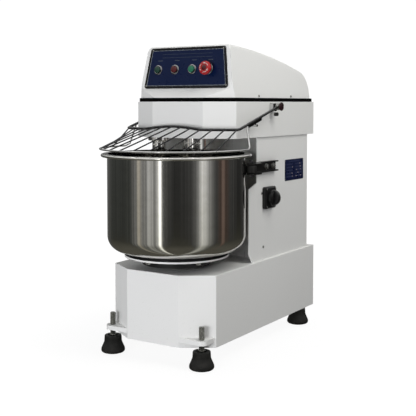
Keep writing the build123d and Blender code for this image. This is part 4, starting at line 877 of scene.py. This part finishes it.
def estop_arrows():
    """Three arrows printed round the top of the mushroom head."""
    arrows = Shape()
    for k in range(3):
        start = 120 * k + ARROW_START
        stop = start + ARROW_BAND
        bow = arc_points((0, 0), 14.2, start, stop, 10) + arc_points((0, 0), 12.8, stop, start, 10)
        strips = [[i, i + 1, 20 - i, 21 - i] for i in range(10)]
        barbs = [on_circle(11, stop), on_circle(16, stop), on_circle(13.5, start + ARROW_TIP)]
        for flat, tops in ((bow, strips), (barbs, [[0, 1, 2]])):
            n = len(flat)
            points = [(x, y, estop_height(math.hypot(x, y))) for x, y in flat]
            points += [(x, y, z - ARROW_DEEP) for x, y, z in points]
            faces = tops + [[n + i for i in reversed(top)] for top in tops]
            faces += band(n, 0, n)
            arrows.add(points, faces, on_panel(ESTOP_X, BUTTON_V))
    arrows.build("emergency_stop_arrows", "label_white", "estop_button", slot="cover_white")


panel_surround()
panel_labels()
button_collars()
button_caps()
emergency_stop()
estop_arrows()

# ---- side fittings
SIDE_X = span("column_shell")[1].x
SWITCH_SIZE, SWITCH_DIAL_R, SWITCH_SCREW = 66, 24, 26.5
GRIP_R, GRIP_HALF = 23.6, 6.5
SIDE_SCREWS = ((42, 454), (52, 292))
FIELD_TOP, FIELD_STEP, PLATE_OUT, FIELD_OUT, ENTRY_OUT = 0.27, 0.145, 0.8, 0.92, 1.0
FIELDS = ((-0.25, 0.33), (0.22, 0.36))
ENTRIES = ((0, 0.3), (1, -0.1), (1, 0.33), (2, 0.12), (2, 0.36),
           (3, -0.12), (3, 0.2), (4, -0.1), (4, 0.1), (4, 0.34))
AXLE_NUT, WASHER_R = 13, 10
BRACKET_BOLT_YS = (62, 104)


def on_side(y, z):
    """Frame on the column's right side: X to the back, Y up, Z out."""
    return place_at((SIDE_X, y, z), (1, 0, 0))


def main_switch():
    centre = middle("main_switch_body")
    at = on_side(centre.y, centre.z)
    thick = span("main_switch_body")[1].x - SIDE_X
    shape = Shape()
    shape.prism(rounded_box(SWITCH_SIZE, SWITCH_SIZE, 6), 0, thick - 3, 1.2, at)
    shape.prism(rounded_box(SWITCH_SIZE - 5, SWITCH_SIZE - 5, 5), thick - 3.5, thick - 0.5, 1.4, at)
    shape.lathe([(0, thick - 2), (26, thick - 2), (26, thick - 0.2), (25, thick), (0, thick)], at, 64)
    shape.lathe([(0, -36), (17, -36), (18, -34), (18, 0), (0, 0)], at, 40)
    shape.build("main_switch_plate", "black_plastic", "frame", "main_switch_body")
    screws = Shape()
    for x in (-SWITCH_SCREW, SWITCH_SCREW):
        for y in (-SWITCH_SCREW, SWITCH_SCREW):
            screws.screw(at @ shift(x, y, thick - 0.6), 2.6, 1.0)
    screws.screw(on_side(*SIDE_SCREWS[0]), 3.6, 2.3)
    screws.build("main_switch_screws", "zinc_steel", "frame", slot="zinc_steel")

    reach = span("main_switch_knob")[1].x - SIDE_X
    base = thick + 0.3
    knob = Shape()
    knob.prism(ribbed_circle(SWITCH_DIAL_R, 0.5, 24, 2, 96), base, base + 9, 1.5, at)
    knob.lathe([(0, base + 8), (20, base + 8), (18, base + 11), (12, base + 13), (0, base + 13)], at, 64)
    arc = arc_points((0, reach - GRIP_R), GRIP_R, -25, 205, 30)
    blade = [(0, base + 8)] + [point for point in arc if point[1] > base + 8]
    # The grip is a half disc that stands on its edge: its outline's Y is the switch's Z.
    edge_on = at @ Matrix(((0, 0, 1, 0), (1, 0, 0, 0), (0, 1, 0, 0), (0, 0, 0, 1)))
    knob.prism(blade, -GRIP_HALF, GRIP_HALF, 1.6, edge_on)
    knob.rod(4, -18, base + 1, at, 20)
    knob.build("main_switch_grip", "black_plastic", "main_switch_knob", "main_switch_knob")
    mark = Shape()
    mark.prism(rounded_box(2.2, 5, 1.0), base + 8.9, base + 9.2, 0.05, at @ shift(0, 20.6))
    mark.build("main_switch_pointer", "label_white", "main_switch_knob", slot="cover_white")


def rating_plate():
    """Blue plate with rows of blank fields and entries. Places on it are shares of its size."""
    low, high = span("rating_plate")
    centre = middle("rating_plate")
    width, height = high.y - low.y, high.z - low.z
    at = on_side(centre.y, centre.z)

    def spot(x, y, out=0.0):
        return at @ shift(width * x, height * y, out)

    sheet, fields, entries, rivets = Shape(), Shape(), Shape(), Shape()
    sheet.prism(rounded_box(width, height, 4), 0, PLATE_OUT, 0.2, at)
    sheet.build("rating_plate_sheet", "plate_navy", "frame", "rating_plate")
    for row in range(5):
        for x, length in FIELDS:
            field = rounded_box(width * length, height * 0.07, 0.6)
            fields.prism(field, PLATE_OUT, FIELD_OUT, 0.03, spot(x, FIELD_TOP - FIELD_STEP * row))
    fields.prism(rounded_box(width * 0.6, height * 0.06, 0.6), PLATE_OUT, FIELD_OUT, 0.03, spot(0, 0.4))
    for row, x in ENTRIES:
        entry = rounded_box(5, 2.2, 1.0)
        entries.prism(entry, FIELD_OUT, ENTRY_OUT, 0.02, spot(x, FIELD_TOP - FIELD_STEP * row))
    entries.build("rating_plate_entries", "label_white", "frame", slot="box_grey")
    fields.build("rating_plate_fields", "label_blue", "frame", slot="box_grey")
    for x in (-0.47, 0.47):
        for y in (-0.44, 0.44):
            rivets.screw(spot(x, y, PLATE_OUT - 0.1), 1.8, 0.3)
    rivets.build("rating_plate_rivets", "zinc_steel", "frame", slot="zinc_steel")


def rollers():
    for node in ("guide_roller_left", "guide_roller_right"):
        low, high = span(node)
        centre = middle(node)
        r = (high.x - low.x) / 2
        profile = [(5.1, low.z), (8, low.z), (8.6, low.z + 0.8), (r - 1.5, low.z + 0.8)]
        profile += arc_points((r - 1.6, low.z + 2.4), 1.6, -90, 0, 4)
        profile += arc_points((r - 1.6, high.z - 2.4), 1.6, 0, 90, 4)
        profile += [(8.6, high.z - 0.8), (8, high.z), (5.1, high.z)]
        wheel = Shape()
        wheel.lathe(profile, shift(centre.x, centre.y), 48, closed=True)
        wheel.build(node + "_wheel", "roller_nylon", node, node)


def roller_axles():
    """Pin, washer and two nuts through each roller and its bracket."""
    low, high = (corner.z for corner in span("roller_pins"))
    under, over = (corner.z for corner in span("roller_brackets"))
    centre = middle("guide_roller_right")
    pin = [(0, low), (4.2, low), (5, low + 0.8), (5, high - 0.8), (4.2, high), (0, high)]
    washer = [(5, over), (WASHER_R, over), (WASHER_R, over + 1.2), (5, over + 1.2)]
    pins = Shape()
    for side in (-1, 1):
        at = shift(side * centre.x, centre.y)
        pins.lathe(pin, at, 28)
        pins.nut(AXLE_NUT, over + 1.2, over + 8, at, 1.0)
        pins.lathe(washer, at, 32, closed=True)
        pins.nut(AXLE_NUT, under - 7, under, at, 1.0)
    # The pins and nuts take guard_wire's near-black colour, painted shade.
    pins.build("roller_axle_bolts", "guard_wire", "frame", "roller_pins")


def bracket_bolts():
    bolts = Shape()
    z = middle("bracket_bolts").z
    for side in (-1, 1):
        for y in BRACKET_BOLT_YS:
            at = place_at((side * (SIDE_X + 4), y, z), (side, 0, 0))
            bolts.rod(9.5, 0, 1.8, at, 32, (0.7, 0.4))
            bolts.nut(13, 1.6, 7.4, at, 1.0)
    bolts.build("bracket_hex_bolts", "zinc_steel", "frame", "bracket_bolts")


main_switch()
rating_plate()
rollers()
roller_axles()
bracket_bolts()

# ---- feet
FEET = ((-154.0, -267.0), (154.0, -267.0), (-152.0, 316.0), (152.0, 316.0))
STUD_TOP = span("foot_studs")[1].z
REAR_STUD_TOP = 110.0
STUD_R = 8.0
FOOT_TOP = span("rubber_feet")[1].z
FRONT_NUT, REAR_NUT = (20, FOOT_TOP - 2.5, FOOT_TOP + 4), (24, 59, 72)


def feet():
    """Rubber feet with a threaded stud each, locked by a nut above the foot."""
    cups, studs = Shape(), Shape()
    top = FOOT_TOP
    profile = [(0, 0), (26, 0), (27, 1.2), (31, 1.8), (33.2, 3.6), (34.4, 6.5), (34.5, 9), (34, 12.6)]
    profile += [(32.6, 16), (30.4, 21), (28.2, 26), (26.6, 30), (25.8, 32.6), (25.4, 35)]
    profile += [(25, top - 8), (24.6, top - 2.4), (23.8, top - 0.6), (22.4, top)]
    profile += [(16, top), (15, top - 1), (14.4, top - 4), (0, top - 4.6)]
    for x, y in FEET:
        at = shift(x, y)
        cups.lathe(profile, at, 72)
        front = y < 0
        studs.thread(STUD_R, top - 6, STUD_TOP if front else REAR_STUD_TOP, at)
        studs.rod(7, 20, top - 5, at, 20)
        if front:
            studs.nut(*FRONT_NUT, at, 1.2, 0.3)
        else:
            studs.nut(*REAR_NUT, at, 1.4)
    cups.build("levelling_feet", "foot_rubber", "frame", "rubber_feet", sharp=50)
    studs.build("levelling_studs", "stud_steel", "frame", "foot_studs", sharp=50)


feet()

# ---- casing screws
COVER_SCREW_YS, COVER_SCREW_Z = (26, 232), 745
# The cover's sides lean in by 26 over 167, measured from LEAN_LOW up.
COVER_SIDE, COVER_LEAN, LEAN_LOW, SCREW_LIFT = 167.0, 26 / 167, 734, 0.02
COVER_SKIN = COVER_SIDE + SCREW_LIFT - (COVER_SCREW_Z - LEAN_LOW) * COVER_LEAN
REAR_SCREW_X, REAR_SCREW_ZS = 132, (300, 440, 580)
REAR_Y = span("rear_cover")[1].y - 2
PANEL_SCREW_IN = 7.5


def casing_screws():
    shape = Shape()
    for side in (-1, 1):
        for y in COVER_SCREW_YS:
            out = (side, 0, COVER_LEAN)
            shape.screw(place_at((side * COVER_SKIN, y, COVER_SCREW_Z), out), 4, 2.5)
        for y, z in SIDE_SCREWS:
            shape.screw(place_at((side * SIDE_X, y, z), (side, 0, 0)), 4, 2.5)
        for z in REAR_SCREW_ZS:
            shape.screw(place_at((side * REAR_SCREW_X, REAR_Y, z), (0, 1, 0)), 4.4, 2.6)
        for end, wide in ((-1, PANEL_WIDE_LOW), (1, PANEL_WIDE_HIGH)):
            x, y = side * (wide - PANEL_SCREW_IN), end * (PANEL_HALF - PANEL_SCREW_IN)
            shape.screw(on_panel(x, y, 2.0), 2.6, 1.3)
    shape.build("pan_head_screws", "zinc_steel", "frame", "casing_screws")


casing_screws()

# ---- camera, light and floor
CAMERA_AT = Vector((1.3977, -2.1784, 0.7225))
CAMERA_AZIMUTH = math.radians(32.62)
CAMERA_PITCH = math.radians(3.0)
LENS = 73.6
LENS_SHIFT = -0.144


def photo_camera():
    data = bpy.data.cameras.new("camera")
    camera = put("camera", data)
    camera.location = CAMERA_AT
    camera.rotation_euler = (math.pi / 2 - CAMERA_PITCH, 0, CAMERA_AZIMUTH)
    data.lens = LENS
    data.shift_y = LENS_SHIFT
    bpy.context.scene.camera = camera


def area_light(name, turn, rise, distance, target, size, power, colour=(1, 1, 1), glossy=False):
    """Square lamp that faces a point. turn and rise are degrees from the front of the machine."""
    data = bpy.data.lights.new(name, "AREA")
    data.size = size
    data.energy = power
    data.color = colour
    lamp = put(name, data)
    turn, rise = math.radians(turn), math.radians(rise)
    way = Vector((math.sin(turn) * math.cos(rise), -math.cos(turn) * math.cos(rise), math.sin(rise)))
    lamp.location = Vector(target) + way * distance
    lamp.rotation_euler = way.to_track_quat("Z", "Y").to_euler()
    lamp.visible_glossy = glossy
    lamp.visible_camera = False


photo_camera()
DAYLIGHT, LAMPLIGHT = (0.97, 0.98, 1.0), (1.0, 1.0, 0.965)
area_light("key_low", 14, 5, 4.2, (0, 0, 0.4), 2.0, 7, DAYLIGHT)
area_light("key", 14, 24, 4.2, (0, 0, 0.5), 2.4, 7.6, DAYLIGHT)
area_light("front_fill", 4, 6, 2.6, (0, 0, 0.15), 0.9, 35, DAYLIGHT)
area_light("top", 20, 82, 2.8, (0, 0, 0.9), 1.6, 2)
area_light("right_high", 84, 50, 2.0, (0, 0, 0.85), 0.9, 16.5, LAMPLIGHT)
area_light("right_mid", 88, 25, 2.0, (0, 0.1, 0.8), 0.9, 11.3, LAMPLIGHT)
area_light("left", -70, 20, 4.0, (0, 0, 0.6), 2.0, 2.4)
area_light("front_right", 45, 20, 4.0, (0, 0, 0.6), 2.0, 3)
area_light("rear", 175, 18, 3.6, (0, 0, 0.6), 1.6, 26)
area_light("rear_left", -112, 16, 3.6, (0, 0, 0.5), 1.6, 24)
for name, turn, rise in (("glint_right", 62, 48), ("glint_front", 10, 58), ("glint_left", -50, 46)):
    area_light(name, turn, rise, 3.0, (0, 0, 0.6), 0.3, 1.0, glossy=True)

FLOOR_REACH = 14.0
BACKDROP_WHITE = 1.05


def floor_look():
    """Pale matt floor that runs out into the white background."""
    look = Look("floor", (0.9, 0.9, 0.9), 0.95)
    look.colour(look.mix(look.noise(3, 3), (0.88, 0.88, 0.885), (0.85, 0.85, 0.855)))
    reach = look.node("VectorMath", operation="LENGTH")
    look.link(look.position, reach.inputs[0])
    away = look.math("MULTIPLY", reach.outputs["Value"], 0.5)
    white = look.node("Emission")
    white.inputs["Color"].default_value = (1, 1, 1, 1)
    white.inputs["Strength"].default_value = BACKDROP_WHITE
    blend = look.node("MixShader")
    look.link(look.ramp(away, [(0.14, 0.86), (0.42, 1.0)]), blend.inputs[0])
    look.link(look.shader.outputs[0], blend.inputs[1])
    look.link(white.outputs[0], blend.inputs[2])
    look.link(blend.outputs[0], look.tree.nodes["Material Output"].inputs["Surface"])


def floor_sheet():
    floor_look()
    mesh = bpy.data.meshes.new("floor")
    corners = [(x * FLOOR_REACH, y * FLOOR_REACH, 0) for x, y in ((-1, -1), (1, -1), (1, 1), (-1, 1))]
    mesh.from_pydata(corners, [], [(0, 1, 2, 3)])
    mesh.materials.append(LOOKS["floor"])
    floor = put("floor", mesh)
    floor.visible_glossy = False
    floor.visible_diffuse = False


floor_sheet()

# What polished metal sees round the room: degrees from +X towards +Y, brightness and tint.
WARM, COOL, PLAIN, BROWN = (1.0, 0.93, 0.82), (0.95, 1.0, 0.96), (1, 1, 1), (1.0, 0.72, 0.62)
ROOM = [
    (-180, 0.05, COOL), (-145, 0.05, COOL), (-137, 0.065, COOL), (-131, 0.12, PLAIN),
    (-125, 0.22, PLAIN), (-119, 0.52, WARM), (-113, 0.25, PLAIN), (-107, 0.22, PLAIN),
    (-102, 0.58, PLAIN), (-96, 0.46, PLAIN), (-90, 0.22, PLAIN), (-86, 0.8, PLAIN),
    (-82, 2.2, PLAIN), (-78, 0.13, PLAIN), (-70, 0.06, PLAIN), (-55, 0.033, PLAIN),
    (-35, 0.05, PLAIN), (-25, 0.12, PLAIN), (-20, 0.3, PLAIN), (-15, 0.76, PLAIN),
    (-9, 0.74, PLAIN), (-4, 0.5, PLAIN), (2, 0.22, PLAIN), (7, 0.12, PLAIN),
    (13, 0.065, PLAIN), (20, 0.07, BROWN), (26, 0.19, BROWN), (32, 0.07, BROWN),
    (44, 0.055, PLAIN), (70, 0.025, PLAIN), (124, 0.16, PLAIN), (180, 0.05, COOL),
]
SKY_HIGH, SKY_LOW = (0.077, 0.078, 0.08), (0.4, 0.4, 0.405)
CEILING_LOW, CEILING = (0.6, 0.6, 0.588), (1.0, 1.0, 0.98)
WHITE = (BACKDROP_WHITE, BACKDROP_WHITE, BACKDROP_WHITE)


def studio():
    """White to the eye, even and soft to paint, and a dull room with bright windows to polished metal."""
    world = bpy.data.worlds.new("studio")
    bpy.context.scene.world = world
    world.use_nodes = True
    sky = Nodes(world.node_tree)
    sky.tree.nodes.clear()
    split = sky.node("SeparateXYZ")
    sky.link(sky.node("TexCoord").outputs["Generated"], split.inputs[0])
    turn = sky.math("ARCTAN2", split.outputs["Y"], split.outputs["X"])
    around = sky.math("MULTIPLY_ADD", turn, 1 / (2 * math.pi), 0.5)
    height = sky.math("MULTIPLY_ADD", split.outputs["Z"], 0.5, 0.5)

    bands = [
        (degrees / 360 + 0.5, tuple(bright * part for part in tint)) for degrees, bright, tint in ROOM
    ]
    walls = sky.ramp(around, bands, "EASE")
    streaks = sky.node("TexNoise", noise_dimensions="1D")
    streaks.inputs["Scale"].default_value = 15.0
    streaks.inputs["Detail"].default_value = 3.0
    streaks.inputs["Roughness"].default_value = 0.75
    sky.link(turn, streaks.inputs["W"])
    contrast = sky.ramp(streaks.outputs["Fac"], [(0.3, 0.62), (0.5, 1.0), (0.7, (1.5, 1.48, 1.45))])
    walls = sky.mix(1.0, walls, contrast, "MULTIPLY")
    fade = sky.ramp(height, [(0.26, (0.5, 0.5, 0.45)), (0.42, (0.8, 0.8, 0.76)), (0.48, 1.0)])
    walls = sky.mix(1.0, walls, fade, "MULTIPLY")
    ground = sky.ramp(height, [(0.2, (0.09, 0.086, 0.07)), (0.4, (0.05, 0.049, 0.04)), (0.47, 0.0)])
    walls = sky.mix(1.0, walls, ground, "LIGHTEN")
    ceiling = sky.ramp(height, [(0.54, 0.0), (0.64, CEILING_LOW), (0.85, CEILING)])
    room = sky.mix(1.0, walls, ceiling, "LIGHTEN")

    ray = sky.node("LightPath")
    soft = sky.ramp(height, [(0.35, SKY_LOW), (0.75, SKY_HIGH)])
    seen = sky.mix(ray.outputs["Is Glossy Ray"], soft, room)
    back = sky.node("Background")
    sky.link(sky.mix(ray.outputs["Is Camera Ray"], seen, WHITE), back.inputs["Color"])
    sky.link(back.outputs[0], sky.node("OutputWorld").inputs["Surface"])


studio()
bpy.context.scene.view_settings.view_transform = "Standard"
